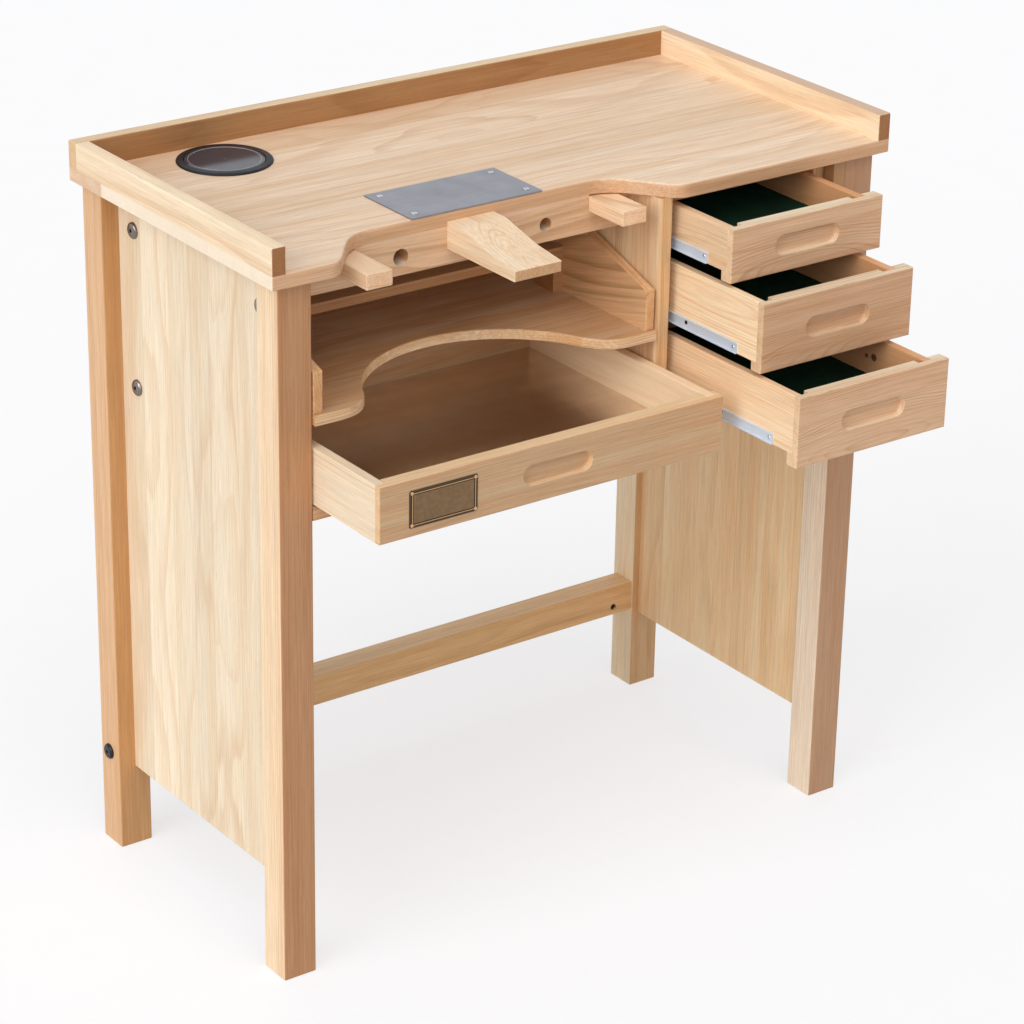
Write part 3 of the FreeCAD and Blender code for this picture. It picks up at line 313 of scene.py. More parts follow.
def wood_colour(tree, figure, seam, tones, ring_show, contrast, fibre_show, tone_spread):
    """Mix(mix(pale, tan, streak + luck), late, ring), then brown by pore and seam, then multiplied by a
    shade for the fibre and one for the board."""
    pale, tan, late = tones
    amount = add(tree, MATHS, figure["Luck"], LUCK_SHARE, figure["Streak"],
                 operation="MULTIPLY_ADD").outputs[0]
    reach = TONE_REACH / contrast
    amount = add(tree, REMAP, amount, MIDDLE_TONE - reach, MIDDLE_TONE + reach, 0.0, 1.0).outputs[0]
    colour = add(tree, MIX, amount, inputs={MIX_A: linear(pale), MIX_B: linear(tan)},
                 data_type="RGBA").outputs[MIX_COLOUR]
    rings = add(tree, MATHS, figure["Ring"], ring_show, operation="MULTIPLY").outputs[0]
    colour = add(tree, MIX, rings, inputs={MIX_A: colour, MIX_B: linear(late)},
                 data_type="RGBA").outputs[MIX_COLOUR]
    dark = add(tree, MATHS, figure["Pore"], PORE_SHARE, operation="MULTIPLY").outputs[0]
    dark = add(tree, MATHS, seam, SEAM_SHARE, dark, operation="MULTIPLY_ADD").outputs[0]
    colour = add(tree, MIX, dark, inputs={MIX_A: colour, MIX_B: linear(PORE_BROWN)},
                 data_type="RGBA").outputs[MIX_COLOUR]
    shade = add(tree, REMAP, figure["Fibre"], 0.0, 1.0, MEAN_SHADE - fibre_show / 2,
                MEAN_SHADE + fibre_show / 2).outputs[0]
    tone = add(tree, REMAP, figure["Luck"], 0.0, 1.0, 1.0 + tone_spread / 2,
               1.0 - tone_spread / 2).outputs[0]
    shade = add(tree, MATHS, shade, tone, operation="MULTIPLY").outputs[0]
    return add(tree, VECTOR_MATHS, colour, inputs={"Scale": shade}, operation="SCALE").outputs[0]


print("pores hide", PORE_SHARE, "of the wood under them")

# %% [markdown]
# ## Tints, painted shade, patches and knots
# Open end grain drinks the lacquer and goes dark. Faces turned to the front and rear get a deeper, redder
# tint, which is painted shade. A board may hold a browner or paler stretch, or a knot, where a branch grew.
# These could be painted on by hand, but a box and a ball say where they are in fewer words, and they go
# through the wood. Some patches below are painted light and some painted shade; each says so where it is
# placed.

# %% Tints, painted shade, patches and knots
TINT_BLUR = 0.2                   # how soft the change to a tint is on a rounded edge
KNOT_BROWN = "#3C2214"
KNOT_CORE = 0.7                   # share of the radius within which a knot is darkest
KNOT_SHARE = 0.85


def tinted_or_shaded(tree, colour, normal, axis, tint, edge):
    """Multiplies the colour by the tint where |normal . axis| is past the edge. With the front axis the tint
    is painted shade, and with the grain's axis it is the end grain's own colour.
    """
    facing = add(tree, VECTOR_MATHS, normal, axis, operation="DOT_PRODUCT").outputs["Value"]
    facing = add(tree, MATHS, facing, operation="ABSOLUTE").outputs[0]
    facing = add(tree, REMAP, facing, edge - TINT_BLUR, edge + TINT_BLUR, 0.0, 1.0,
                 interpolation_type="SMOOTHSTEP").outputs[0]
    return add(tree, MIX, facing, inputs={MIX_A: colour, MIX_B: linear(tint)}, data_type="RGBA",
               blend_type="MULTIPLY").outputs[MIX_COLOUR]


def patched(tree, colour, where, centre, half_size, tone, share):
    """Mixes in the tone where max(|where - centre| - half size) is below zero. Millimetres."""
    away = add(tree, VECTOR_MATHS, where, tuple(v * MM for v in centre), operation="SUBTRACT").outputs[0]
    away = add(tree, VECTOR_MATHS, away, operation="ABSOLUTE").outputs[0]
    away = add(tree, VECTOR_MATHS, away, tuple(v * MM for v in half_size), operation="SUBTRACT").outputs[0]
    away = add(tree, SPLIT, away).outputs
    outermost = add(tree, MATHS, away["X"], away["Y"], operation="MAXIMUM").outputs[0]
    outermost = add(tree, MATHS, outermost, away["Z"], operation="MAXIMUM").outputs[0]
    inside = add(tree, MATHS, outermost, 0.0, operation="LESS_THAN").outputs[0]
    inside = add(tree, MATHS, inside, share, operation="MULTIPLY").outputs[0]
    return add(tree, MIX, inside, inputs={MIX_A: colour, MIX_B: linear(tone)},
               data_type="RGBA").outputs[MIX_COLOUR]


def knotted(tree, colour, where, centre, radius):
    """Mixes in the knot's brown inside a ball, fully within its core. Millimetres."""
    away = add(tree, VECTOR_MATHS, where, tuple(v * MM for v in centre), operation="DISTANCE")
    core = add(tree, REMAP, away.outputs["Value"], radius * MM, KNOT_CORE * radius * MM, 0.0,
               KNOT_SHARE).outputs[0]
    return add(tree, MIX, core, inputs={MIX_A: colour, MIX_B: linear(KNOT_BROWN)},
               data_type="RGBA").outputs[MIX_COLOUR]


print("knots are", KNOT_BROWN)

# %% [markdown]
# ## One finish for every board
# The wood is planed and given a thin satin lacquer: it catches a wide soft light and shows the fibres a
# little. A board can run in any direction. Each direction could have its own material by hand, but one
# function first turns the space until the grain lies along x, and then everything above applies.

# %% A planed and lacquered timber
FRONT_EDGE, END_EDGE = 0.55, 0.75       # how squarely a face must look to the front or along the grain
SATIN, SATIN_SPREAD = 0.46, 0.05        # roughness of the lacquer, smoother on hard fibres
PORE_SINK = -0.7                        # a pore's depth beside the height of a fibre
FIBRE_RELIEF, FIBRE_HEIGHT = 0.25, 0.06     # the bump's strength, and its height in millimetres
LACQUER_SHINE = 0.4


def planed_timber(name, grain, tones, joints, seed=1.0, spacing=3.6, depth=120.0, lean=0.02, wander=6.0,
                  width=70.0, face=0.0, ring_show=0.5, contrast=1.0, fibre_show=0.28, tone_spread=0.2,
                  tilt=0.0, patches=(), knots=()):
    """The figure's group, turned into a colour. Spacing of the rings, the heart's depth below the face,
    the boards' width, the face and the joints are in millimetres, and the tilt is in radians. A patch is a
    centre, a half size, a colour and a share, and a knot is a centre and a radius."""
    # the fourth tone is painted shade for faces turned to the front and rear, the fifth the end grain's tint
    *wood_tones, front_painted_shade, end_tint = tones
    material, tree, surface = new_material(name)
    where = add(tree, "ShaderNodeTexCoord").outputs
    turn = Matrix.Rotation(tilt, 3, "Z") @ Matrix(GRAIN[grain])
    place = add(tree, "ShaderNodeMapping", where["Object"],
                inputs={"Scale": (1 / MM,) * 3, "Rotation": turn.to_euler(),
                        "Location": (0.0, 0.0, -face)}).outputs[0]
    board, start, seam = glued_boards(tree, add(tree, SPLIT, place).outputs["Y"], joints)
    figure = add(tree, "ShaderNodeGroup", node_tree=timber_figure, inputs={
        "Place": place, "Board": board, "Start": start, "Width": width, "Spacing": spacing,
        "Depth": depth, "Lean": lean, "Wander": wander, "Seed": seed}).outputs

    colour = wood_colour(tree, figure, seam, wood_tones, ring_show, contrast, fibre_show, tone_spread)
    # painted shade: faces turned to the front and rear are multiplied by a deeper, redder tint
    colour = tinted_or_shaded(tree, colour, where["Normal"], (0, 1, 0), front_painted_shade, FRONT_EDGE)
    colour = tinted_or_shaded(tree, colour, where["Normal"], GRAIN[grain][0], end_tint, END_EDGE)
    for patch in patches:
        colour = patched(tree, colour, where["Object"], *patch)
    for knot in knots:
        colour = knotted(tree, colour, where["Object"], *knot)
    gloss = add(tree, REMAP, figure["Fibre"], 0.0, 1.0, SATIN + SATIN_SPREAD, SATIN - SATIN_SPREAD).outputs[0]
    relief = add(tree, MATHS, figure["Pore"], PORE_SINK, figure["Fibre"], operation="MULTIPLY_ADD").outputs[0]
    bump = add(tree, "ShaderNodeBump", inputs={"Height": relief, "Strength": FIBRE_RELIEF,
                                               "Distance": FIBRE_HEIGHT * MM})
    wood = add(tree, "ShaderNodeBsdfPrincipled", inputs={
        "Base Color": colour, "Roughness": gloss, "Normal": bump.outputs[0],
        "Specular IOR Level": LACQUER_SHINE})
    tree.links.new(wood.outputs[0], surface)
    return material


def dress(material, *names):
    """Puts a finish on every material slot of the named CAD nodes."""
    for name in names:
        for material_slot in cad_nodes[name].material_slots:
            material_slot.material = material
    print(material.name, "on", len(names), "nodes")


print("lacquered wood has a roughness of", SATIN)

# %% [markdown]
# ## A chart of timber tones
# Boards are sorted by tone before they are glued up: the palest go into the side panels and the brownest
# inside, where nobody looks. The tones could be scattered through the calls below, but side by side they
# are easier to balance. Each row gives the pale wood, the tan streaks, the dark late wood, the painted shade
# for faces turned to the front and rear, and the tint for end grain.

# %% Timber tones
TONES = {
    "top": ("#FAE4CC", "#E6C19A", "#BE8654", "#E8D2BE", "#FFFFFF"),
    "rear rim": ("#F4E0BE", "#E8C498", "#B98450", "#C2A284", "#FFF4E8"),
    "side rims": ("#FBEACC", "#F4D2AA", "#D2A070", "#FFFFFF", "#A67C58"),
    "legs": ("#F2D8B6", "#E4BA8E", "#C69466", "#C6A892", "#D9B592"),
    # painted light: paler tones for the right front leg's shaded left face
    "right front leg painted light": ("#FFF2DE", "#F8DABA", "#DCAE82", "#C2A48E", "#D9B592"),
    "rear legs": ("#E0B68C", "#CE9A68", "#B07848", "#E6DAC4", "#D9B592"),
    # painted light: paler tones for the right rear leg, which lies in shade
    "right rear leg painted light": ("#FFEED2", "#FEDFB4", "#E6B482", "#DCC2A8", "#D9B592"),
    # painted light: paler tones for the right panel's shaded inner face
    "right panel painted light": ("#FCE2B8", "#F4C28C", "#D09458", "#F2DCC8", "#D9B592"),
    "side panels": ("#FAEDD6", "#F6DCB8", "#DEB080", "#F2DCC8", "#D9B592"),
    # painted light: paler tones for the back panel, which lies in shade behind the tray
    "back": ("#FAE0BC", "#F0C498", "#C89A6A", "#F2DCC8", "#D9B592"),
    "rails": ("#E7C9A6", "#D1A77D", "#AB7C4E", "#F2DCC8", "#D9B592"),
    "stretcher": ("#F6DAB0", "#E4B886", "#BC8856", "#F4E4D0", "#D9B592"),
    "apron": ("#F6E8D6", "#E2C4A2", "#BE986E", "#F2DCC8", "#D9B592"),
    "inner walls": ("#FAE6C2", "#EEC092", "#C28C5A", "#FAF0E0", "#D9B592"),
    "runners": ("#DFBB93", "#C49568", "#A07246", "#FFFFFF", "#D9B592"),
    "pin": ("#F9E3C5", "#EAC59C", "#C49058", "#FFFFFF", "#D6BEA6"),
    "arm rests": ("#F7D6B4", "#E3BB90", "#C28E58", "#FFFFFF", "#FFF6F0"),
    "drawer fronts": ("#F4E3C8", "#DDBA94", "#AE7C4A", "#ECD4C4", "#FFF4E8"),
    "drawer sides": ("#F8E2BE", "#F0C49A", "#C88C58", "#FFFFFF", "#E8D4C0"),
    "catch front": ("#FAE8C0", "#F4C698", "#CC9862", "#DCD0C8", "#FFF4E8"),
    "catch sides": ("#FBEEDA", "#FAE0BC", "#DEB284", "#FFFFFF", "#E6CCB4"),
    "tray floor": ("#FBE4C4", "#EFC698", "#C28A56", "#FFFFFF", "#FFF0E0"),
    "tray walls": ("#E6BC90", "#CC9868", "#A06E3E", "#FFFFFF", "#FAF0E4"),
    "plywood": ("#EBD7B8", "#DBBF98", "#C09A6C", "#FFFFFF", "#E0C8A8"),
}
print(len(TONES), "timbers on the chart")

# %% [markdown]
# ## Boards of the top
# The top is one panel of five boards that run from left to right, with a rim on edge along three sides. It
# could take one plain finish, but its rear boards came from a browner trunk and its sawn left edge is paler,
# so patches mark them. Its figure is nearly straight, so the heart hardly wanders.

# %% Finish the top
BROWN_REAR_BOARD = ((0, 332, 1004), (600, 46, 11), "#C89A6C", 0.45)
PALE_LEFT_EDGE = ((-500, 80, 1004), (1, 210, 11), "#FFF0DA", 0.7)
BROWN_RIGHT_RIM = ((490, 124, 1051), (12, 260, 1), "#C8A284", 0.8)
GOLDEN_RIM_FACE = ((478, 124, 1032), (1, 260, 18), "#F0BE84", 0.4)
dress(planed_timber("rubberwood_planed_top", "x flat", TONES["top"], (-129, 22, 112, 201, 288), seed=3.0,
                    depth=90.0, lean=0.02, spacing=2.4, wander=3.0, ring_show=0.36, contrast=1.15,
                    patches=[BROWN_REAR_BOARD, PALE_LEFT_EDGE]), "table_top")
dress(planed_timber("rubberwood_planed_rear_rim", "x upright", TONES["rear rim"], (1014,), seed=5.0),
      "rim_back")
dress(planed_timber("rubberwood_planed_side_rims", "y upright", TONES["side rims"], (1014,), seed=8.0,
                    depth=90.0, lean=0.01, spacing=2.6, wander=4.0, ring_show=0.4, contrast=1.2,
                    patches=[BROWN_RIGHT_RIM, GOLDEN_RIM_FACE]), "rim_left", "rim_right")

# %% [markdown]
# ## Legs and side panels
# Legs are sawn straight along the trunk, so their grain runs plainly up. The side panels are glued up from
# six upright boards of different widths, paler than all the rest. Legs and panels of one bench could share
# a finish, but timber differs from trunk to trunk, so each has its own seed and most have their own tones.
# The right-hand legs and the right panel get paler tones still: painted light on faces that lie in the
# shade under the bench.

# %% Finish the legs and the side panels
LEFT_LEG, RIGHT_LEG = -484, 434         # where the legs' left faces lie
LEGS = {                                # name of the finish, row of the chart, left face, seed
    "leg_front_left": ("rubberwood_planed_leg", "legs", LEFT_LEG, 2.0),
    # the right-hand legs take paler rows, which are painted light
    "leg_front_right": ("rubberwood_right_front_leg_painted_light", "right front leg painted light", RIGHT_LEG, 2.2),
    "leg_back_left": ("rubberwood_planed_rear_leg", "rear legs", LEFT_LEG, 2.5),
    "leg_back_right": ("rubberwood_right_rear_leg_painted_light", "right rear leg painted light", RIGHT_LEG, 2.7),
}
for leg, (finish, row, left_face, seed) in LEGS.items():
    dress(planed_timber(finish, "z seen from the front", TONES[row], (left_face,), seed=seed, depth=90.0,
                        lean=0.01, spacing=3.5, ring_show=0.35), leg)
PANEL_JOINTS = (-65, 24.9, 94.1, 141.3, 194.8, 266.0)
# the right panel takes a paler row, which is painted light
for panel, finish, row, seed in (
        ("side_panel_left", "rubberwood_planed_side_panels", "side panels", 4.0),
        ("side_panel_right", "rubberwood_right_panel_painted_light", "right panel painted light", 4.5)):
    dress(planed_timber(finish, "z seen from the side", TONES[row], PANEL_JOINTS, seed=seed, depth=60.0,
                        lean=0.02, spacing=5.0, wander=6.0, ring_show=0.4), panel)

# %% [markdown]
# ## Rails and inner walls
# These hold the bench together and stay mostly in shadow. They could be left plain, but the front edges of
# the rails and of the divider show, so they get the same wood in browner tones. The top of the divider's
# front is the brownest spot, and that brown patch is painted shade. The back panel's tones are paler than
# the rails', as painted light in the shade behind the tray.

# %% Finish the rails and the inner walls
# painted shade: a brown patch on the top of a front edge that lies in shade
PAINTED_SHADE_WALL_EDGE = ((424, -105, 840), (11, 11, 160), "#A8784C", 0.75)
# the back panel's paler row is painted light
dress(planed_timber("rubberwood_back_painted_light", "x upright", TONES["back"], (666, 760, 850, 930), seed=6.0),
      "back_panel")
dress(planed_timber("rubberwood_planed_rails", "x upright", TONES["rails"], (120, 300, 680, 900, 960),
                    seed=7.0), "top_rail", "front_rail", "cabinet_floor", "tray_bridge")
dress(planed_timber("rubberwood_planed_stretcher", "x upright", TONES["stretcher"], (120,), seed=7.5),
      "rear_stretcher")
dress(planed_timber("rubberwood_planed_apron", "x upright", TONES["apron"], (940,), seed=9.0),
      "apron", "socket_rail")
dress(planed_timber("rubberwood_planed_inner_walls", "z seen from the side", TONES["inner walls"],
                    (-118, -20, 70, 160, 250), seed=11.0, patches=[PAINTED_SHADE_WALL_EDGE]),
      "divider", "cabinet_wall", "panel_cleats", "wall_spacers")
dress(planed_timber("rubberwood_sawn_runners", "y upright", TONES["runners"], (660, 740, 800), seed=12.0),
      "runners")

# %% [markdown]
# ## Pieces that slide in the apron
# The pin and the two arm rests are short thick blocks. Their top faces show the arches of flat-sawn wood,
# and their front ends show the cut rings. A finish made for long boards would show neither on such short
# pieces, so the pin's heart is put close below its top face.

# %% Finish the pin and the arm rests
dress(planed_timber("rubberwood_sawn_pin", "y flat", TONES["pin"], (148,), seed=15.0, face=1001.5,
                    depth=20.0, lean=0.01, spacing=3.8, width=6.0, wander=2.0, ring_show=0.34), "bench_pin")
dress(planed_timber("rubberwood_sawn_arm_rests", "y flat", TONES["arm rests"], (-90, 320), seed=16.0),
      "armrest_left", "armrest_right")

# %% [markdown]
# ## Small drawers
# Drawer fronts run from left to right and show tall arches above the pulls, so their heart is near and
# leans. One seed for all three would repeat the same arches, so each front has its own. The sides run from
# front to rear and are more golden, and one of them holds two knots. The right-hand walls get a browner
# patch, which is painted shade on their inner faces.

# %% Finish the small drawers
DRAWERS = (1, 2, 3)
FRONT_SEEDS = {1: 21.0, 2: 27.0, 3: 23.0}
FRONT_FACES = {1: 226.0, 2: 295.0, 3: 376.0}        # millimetres in front of the origin
# painted shade: the drawers' right-hand walls are painted browner
PAINTED_SHADE_RIGHT_WALLS = ((380, 0, 900), (20, 500, 300), "#D2925E", 0.8)
WALL_KNOTS = [((372, -265, 763.5), 6.2), ((372, -250, 762), 3.6)]
for k in DRAWERS:
    dress(planed_timber(f"rubberwood_planed_drawer_front_{k}", "x upright", TONES["drawer fronts"],
                        (690, 795, 899), seed=FRONT_SEEDS[k], face=FRONT_FACES[k], depth=50.0, lean=0.10,
                        spacing=2.6, wander=12.0, ring_show=0.5, tone_spread=0.06), f"drawer_{k}_front")
dress(planed_timber("rubberwood_planed_drawer_sides", "y upright", TONES["drawer sides"], (705, 800, 905),
                    seed=22.0, face=146.5, depth=80.0, lean=0.03, spacing=2.4, wander=3.0, ring_show=0.4,
                    patches=[PAINTED_SHADE_RIGHT_WALLS], knots=WALL_KNOTS), *[f"drawer_{k}_walls" for k in DRAWERS])

# %% [markdown]
# ## Catch drawer and tray
# The catch drawer is pale and the tray above it is dark and streaky. Both could come from the same boards,
# but a finish for pale boards would not reach so deep a tone, so patches darken the tray's upper side and,
# still more, its underside, which the metal sheet below mirrors. The underside's patch is painted shade.
# A pale patch on the catch drawer's right wall is painted light on a face that lies in shade.

# %% Finish the catch drawer and the tray
# painted light: a pale patch on the catch drawer's right wall
PAINTED_LIGHT_CATCH_WALL = ((100, 0, 727), (9, 400, 60), "#FFDCB2", 0.6)
BROWN_TRAY_TOP = ((0, 100, 812), (600, 400, 0.8), "#9C5E2C", 0.42)
# painted shade: a dark patch on the tray's underside
PAINTED_SHADE_TRAY_UNDERSIDE = ((0, 100, 797), (600, 400, 0.8), "#6E4426", 0.55)
dress(planed_timber("rubberwood_planed_catch_front", "x upright", TONES["catch front"], (680,), seed=24.0,
                    face=264.0, depth=110.0, lean=0.02, spacing=2.6, wander=3.0, ring_show=0.3),
      "catch_drawer_front", "catch_drawer_back")
dress(planed_timber("rubberwood_planed_catch_sides", "y upright", TONES["catch sides"], (680,), seed=25.0,
                    patches=[PAINTED_LIGHT_CATCH_WALL]), "catch_drawer_sides")
dress(planed_timber("rubberwood_planed_tray_floor", "x flat", TONES["tray floor"], (-130, -20, 90, 200),
                    seed=27.0, contrast=2.4, fibre_show=0.4,
                    patches=[BROWN_TRAY_TOP, PAINTED_SHADE_TRAY_UNDERSIDE]), "tray_floor")
dress(planed_timber("rubberwood_planed_tray_walls", "y upright", TONES["tray walls"], (790,), seed=28.0,
                    tilt=0.25), "tray_walls")

# %% [markdown]
# ## Plywood bottoms
# Drawer bottoms are thin birch plywood. Their faces are peeled veneer, which shows wide soft figure, and
# their edges show layers of about 1.5 mm. Stacked sheets would be more faces than they are worth, so the
# same function is given a near heart and rings as far apart as the layers.

# %% Finish the plywood
dress(planed_timber("birch_plywood_peeled", "x flat", TONES["plywood"], (-400,), seed=31.0, depth=3.0,
                    lean=0.02, spacing=1.5, wander=12.0, ring_show=0.6),
      *[f"drawer_{k}_bottom" for k in DRAWERS], "catch_drawer_bottom")

# %% [markdown]
# ## Metals
# A metal's colour is the colour of what it mirrors, so these finishes stay light and let the wood and the
# white room do the rest. Rolled or ground metal has fine lines along one direction. An even anisotropic
# gloss would be too perfect, so the lines are noise drawn out along that direction, and they shift the
# colour and the roughness. Every metal keeps the default index of refraction.

# %% Worked metal
CLOUD_SIZE = 40.0                 # millimetres between the darker clouds of handling
LINE_HEIGHT = 0.02                # millimetres
LINES_AND_CLOUDS = (0.7, 1.3)     # their sum where the metal is palest and where it is deepest
GLOSS_SPREAD = 0.04
SCREW_LINES = (3.0, 1.0)          # length and width of the marks on small turned parts in millimetres


def worked_metal(name, pale, deep, roughness, lines_along="X", line_size=(60.0, 0.8), metallic=1.0,
                 relief=0.15):
    """Lines + clouds mix two tones and shift the roughness, and the lines are noise of the place divided
    by (length, width, width). A milky film scatters light as paint does: a metallic share below one."""
    material, tree, surface = new_material(name)
    where = add(tree, "ShaderNodeTexCoord").outputs["Object"]
    length, width = line_size
    stretch = tuple(1 / ((length if axis == lines_along else width) * MM) for axis in "XYZ")
    lines = add(tree, VECTOR_MATHS, where, stretch, operation="MULTIPLY").outputs[0]
    lines = add(tree, NOISE, inputs={"Vector": lines, "Scale": 1.0, "Detail": 3.0}).outputs[0]
    cloud = add(tree, NOISE, inputs={"Vector": where, "Scale": 1 / (CLOUD_SIZE * MM), "Detail": 3.0})
    both = add(tree, MATHS, lines, cloud.outputs[0], operation="ADD").outputs[0]
    both = add(tree, REMAP, both, *LINES_AND_CLOUDS, 0.0, 1.0).outputs[0]
    colour = add(tree, MIX, both, inputs={MIX_A: linear(pale), MIX_B: linear(deep)},
                 data_type="RGBA").outputs[MIX_COLOUR]
    rough = add(tree, REMAP, both, 0.0, 1.0, roughness - GLOSS_SPREAD, roughness + GLOSS_SPREAD).outputs[0]
    bump = add(tree, "ShaderNodeBump", inputs={"Height": lines, "Strength": relief,
                                               "Distance": LINE_HEIGHT * MM})
    metal = add(tree, "ShaderNodeBsdfPrincipled", inputs={
        "Base Color": colour, "Metallic": metallic, "Roughness": rough, "Normal": bump.outputs[0]})
    tree.links.new(metal.outputs[0], surface)
    return material


# %% [markdown]
# ## A finish for each metal part
# One grey for all of them would look like a toy. The slides' zinc lies under a milky film of its own salts,
# and the steel plate is ground with a coarse stone, so it looks grey and even. The catch drawer's aluminium
# sheet is smooth enough to mirror the tray. The small screws have a skin of bright zinc and the panels'
# bolts a dark one, and the stretcher's bolts are blackened by oxide, which is no longer all metal. The
# barrel nuts take the same near-black finish, which on them is painted shade of the holes they sit in.

# %% Finish the metal parts
zinc_steel = worked_metal("steel_zinc_plated_and_rolled", "#DCE8F7", "#CBD8E8", 0.40, "Y", metallic=0.2)
dress(zinc_steel, "slide_cabinet_members", *[f"drawer_{k}_slide_members" for k in DRAWERS],
      *[f"drawer_{k}_slide_carriages" for k in DRAWERS])
dress(worked_metal("steel_plate_ground", "#9A9CA5", "#8A8C95", 0.42, "X"), "steel_plate")
dress(worked_metal("aluminium_satin_rolled", "#ECE2DA", "#E0D4CA", 0.20, "X", (400.0, 30.0), relief=0.02),
      "catch_drawer_sheet")
bright_screws = worked_metal("steel_bright_zinc_screws", "#E2E2E6", "#C4C4CA", 0.22, "X", SCREW_LINES)
dress(bright_screws, "plate_screws")
dress(worked_metal("steel_dark_plated_bolts", "#9C938A", "#6A6460", 0.16, "Z", SCREW_LINES), "panel_bolts")
# near black: black oxide on the stretcher's bolts, painted shade on the barrel nuts
dress(worked_metal("steel_blackened_and_painted_shade", "#2E2C2C", "#1E1D1E", 0.30, "Z", SCREW_LINES, metallic=0.6),
      "stretcher_bolts", "barrel_nuts")

# %% [markdown]
# ## Flock in the drawers
# The drawers are lined with green flock: short upright fibres on glue. They swallow light from above and
# catch it at a low angle. Hairs would take far too many faces, so a speckle of clumps gives the pile, and
# sheen gives the pale edge.

# %% Green flock
CLUMP_SIZE = 1.5                  # millimetres; the real clumps are finer, but wouldn't show
NAP_SIZE = 45.0                   # millimetres of pile that was brushed the same way
PILE_HEIGHT = 0.5                 # millimetres
CLUMPS_AND_NAP = (0.75, 1.3)      # their sum where the pile is deepest and where it is lightest


def flocked_lining(name, deep, light):
    """Speckle = fine noise + broad noise, used for the colour. The bump is the fine noise."""
    material, tree, surface = new_material(name)
    where = add(tree, "ShaderNodeTexCoord").outputs["Object"]
    clumps = add(tree, NOISE, inputs={"Vector": where, "Scale": 1 / (CLUMP_SIZE * MM), "Detail": 3.0})
    nap = add(tree, NOISE, inputs={"Vector": where, "Scale": 1 / (NAP_SIZE * MM), "Detail": 2.0})
    mixed = add(tree, MATHS, clumps.outputs[0], nap.outputs[0], operation="ADD").outputs[0]
    mixed = add(tree, REMAP, mixed, *CLUMPS_AND_NAP, 0.0, 1.0).outputs[0]
    colour = add(tree, MIX, mixed, inputs={MIX_A: linear(deep), MIX_B: linear(light)},
                 data_type="RGBA").outputs[MIX_COLOUR]
    bump = add(tree, "ShaderNodeBump", inputs={"Height": clumps.outputs[0], "Strength": 0.6,
                                               "Distance": PILE_HEIGHT * MM})
    flock = add(tree, "ShaderNodeBsdfPrincipled", inputs={
        "Base Color": colour, "Roughness": 0.95, "Normal": bump.outputs[0], "Sheen Weight": 0.25,
        "Sheen Roughness": 0.5, "Sheen Tint": linear("#3E6B52"), "Specular IOR Level": 0.1})
    tree.links.new(flock.outputs[0], surface)
    return material


dress(flocked_lining("flock_green_electrostatic", "#071A12", "#10301F"),
      *[f"drawer_{k}_liner" for k in DRAWERS])

# %% [markdown]
# ## Surfaces from numbers
# New pieces could be built from ready-made solids and edited by hand. Here they are grids of points, worked
# out as whole arrays, because a formula says exactly what the shape is. One function turns a grid into a
# mesh, and can close it round and cap its ends.

# %% Grids of points into meshes
SMOOTH_UP_TO = 40.0               # degrees between two faces that still look like one curve


def surface_piece(name, grid, material, body, hollow=False):
    """Faces join each point to the next in its row and in the next row. Rows are closed round. A hollow
    ring joins its last row to its first; any other piece closes both with one face. Millimetres."""
    rows, columns = grid.shape[:2]
    index = np.arange(rows * columns).reshape(rows, columns)
    below = np.roll(index, -1, axis=0) if hollow else index[1:]
    index = index[:len(below)]
    quads = np.stack([index, np.roll(index, -1, axis=1), np.roll(below, -1, axis=1), below], axis=-1)
    faces = quads.reshape(-1, 4).tolist()
    if not hollow:
        faces += [index[0][::-1].tolist(), below[-1].tolist()]
    mesh = bpy.data.meshes.new(name)
    mesh.from_pydata((grid.reshape(-1, 3) * MM).tolist(), [], faces)
    mesh.set_sharp_from_angle(angle=np.radians(SMOOTH_UP_TO))
    mesh.materials.append(material)
    piece = bpy.data.objects.new(name, mesh)
    bpy.context.scene.collection.objects.link(piece)
    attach(piece, body)
    print(name, len(mesh.polygons), "faces")
    return piece


def to_frame(x, y, z):
    """Bench measures, from its left front corner on the floor, into the shared frame in millimetres."""
    return np.array([x - 500.0, y - 129.0, z])


print("the bench's left front corner is at", to_frame(0, 0, 0), "mm")

# %% [markdown]
# ## Turned pieces
# A grommet, a pin's head and a screw's head are round, as if cut on a lathe. A spin tool could sweep them,
# but its mesh has to be cleaned at the seam. A profile of radius and height, carried round an axis by sine
# and cosine, has no seam.

# %% A profile carried round an axis
AXES = {                          # across, over and outward, for a piece that faces this way
    "up": ((1, 0, 0), (0, 1, 0), (0, 0, 1)),
    "front": ((1, 0, 0), (0, 0, 1), (0, -1, 0)),
    "left": ((0, -1, 0), (0, 0, 1), (-1, 0, 0)),
    "right": ((0, 1, 0), (0, 0, 1), (1, 0, 0)),
}


def turned(profile, centre, facing, around):
    """Point = centre + radius * (cos t * across + sin t * over) + height * outward."""
    radius, height = np.array(profile, float).T[:, :, None]
    t = np.linspace(0, 2 * np.pi, around, endpoint=False)[None, :]
    across, over, outward = (np.array(axis, float) for axis in AXES[facing])
    return (centre + (radius * np.cos(t))[..., None] * across + (radius * np.sin(t))[..., None] * over
            + (height * np.ones_like(t))[..., None] * outward)


print("a turned ring of 10 mm starts at", turned([(10, 0)], to_frame(500, 129, 0), "up", 4)[0, 0])

# %% [markdown]
# ## Moulded plastic
# Moulded plastic takes its fine grain from the mould, and handling polishes it unevenly. One even gloss
# would look like a drawing, so a broad noise moves the roughness. ABS with an eroded grain looks soft and
# black, and polished acrylic mirrors the room and looks deep.

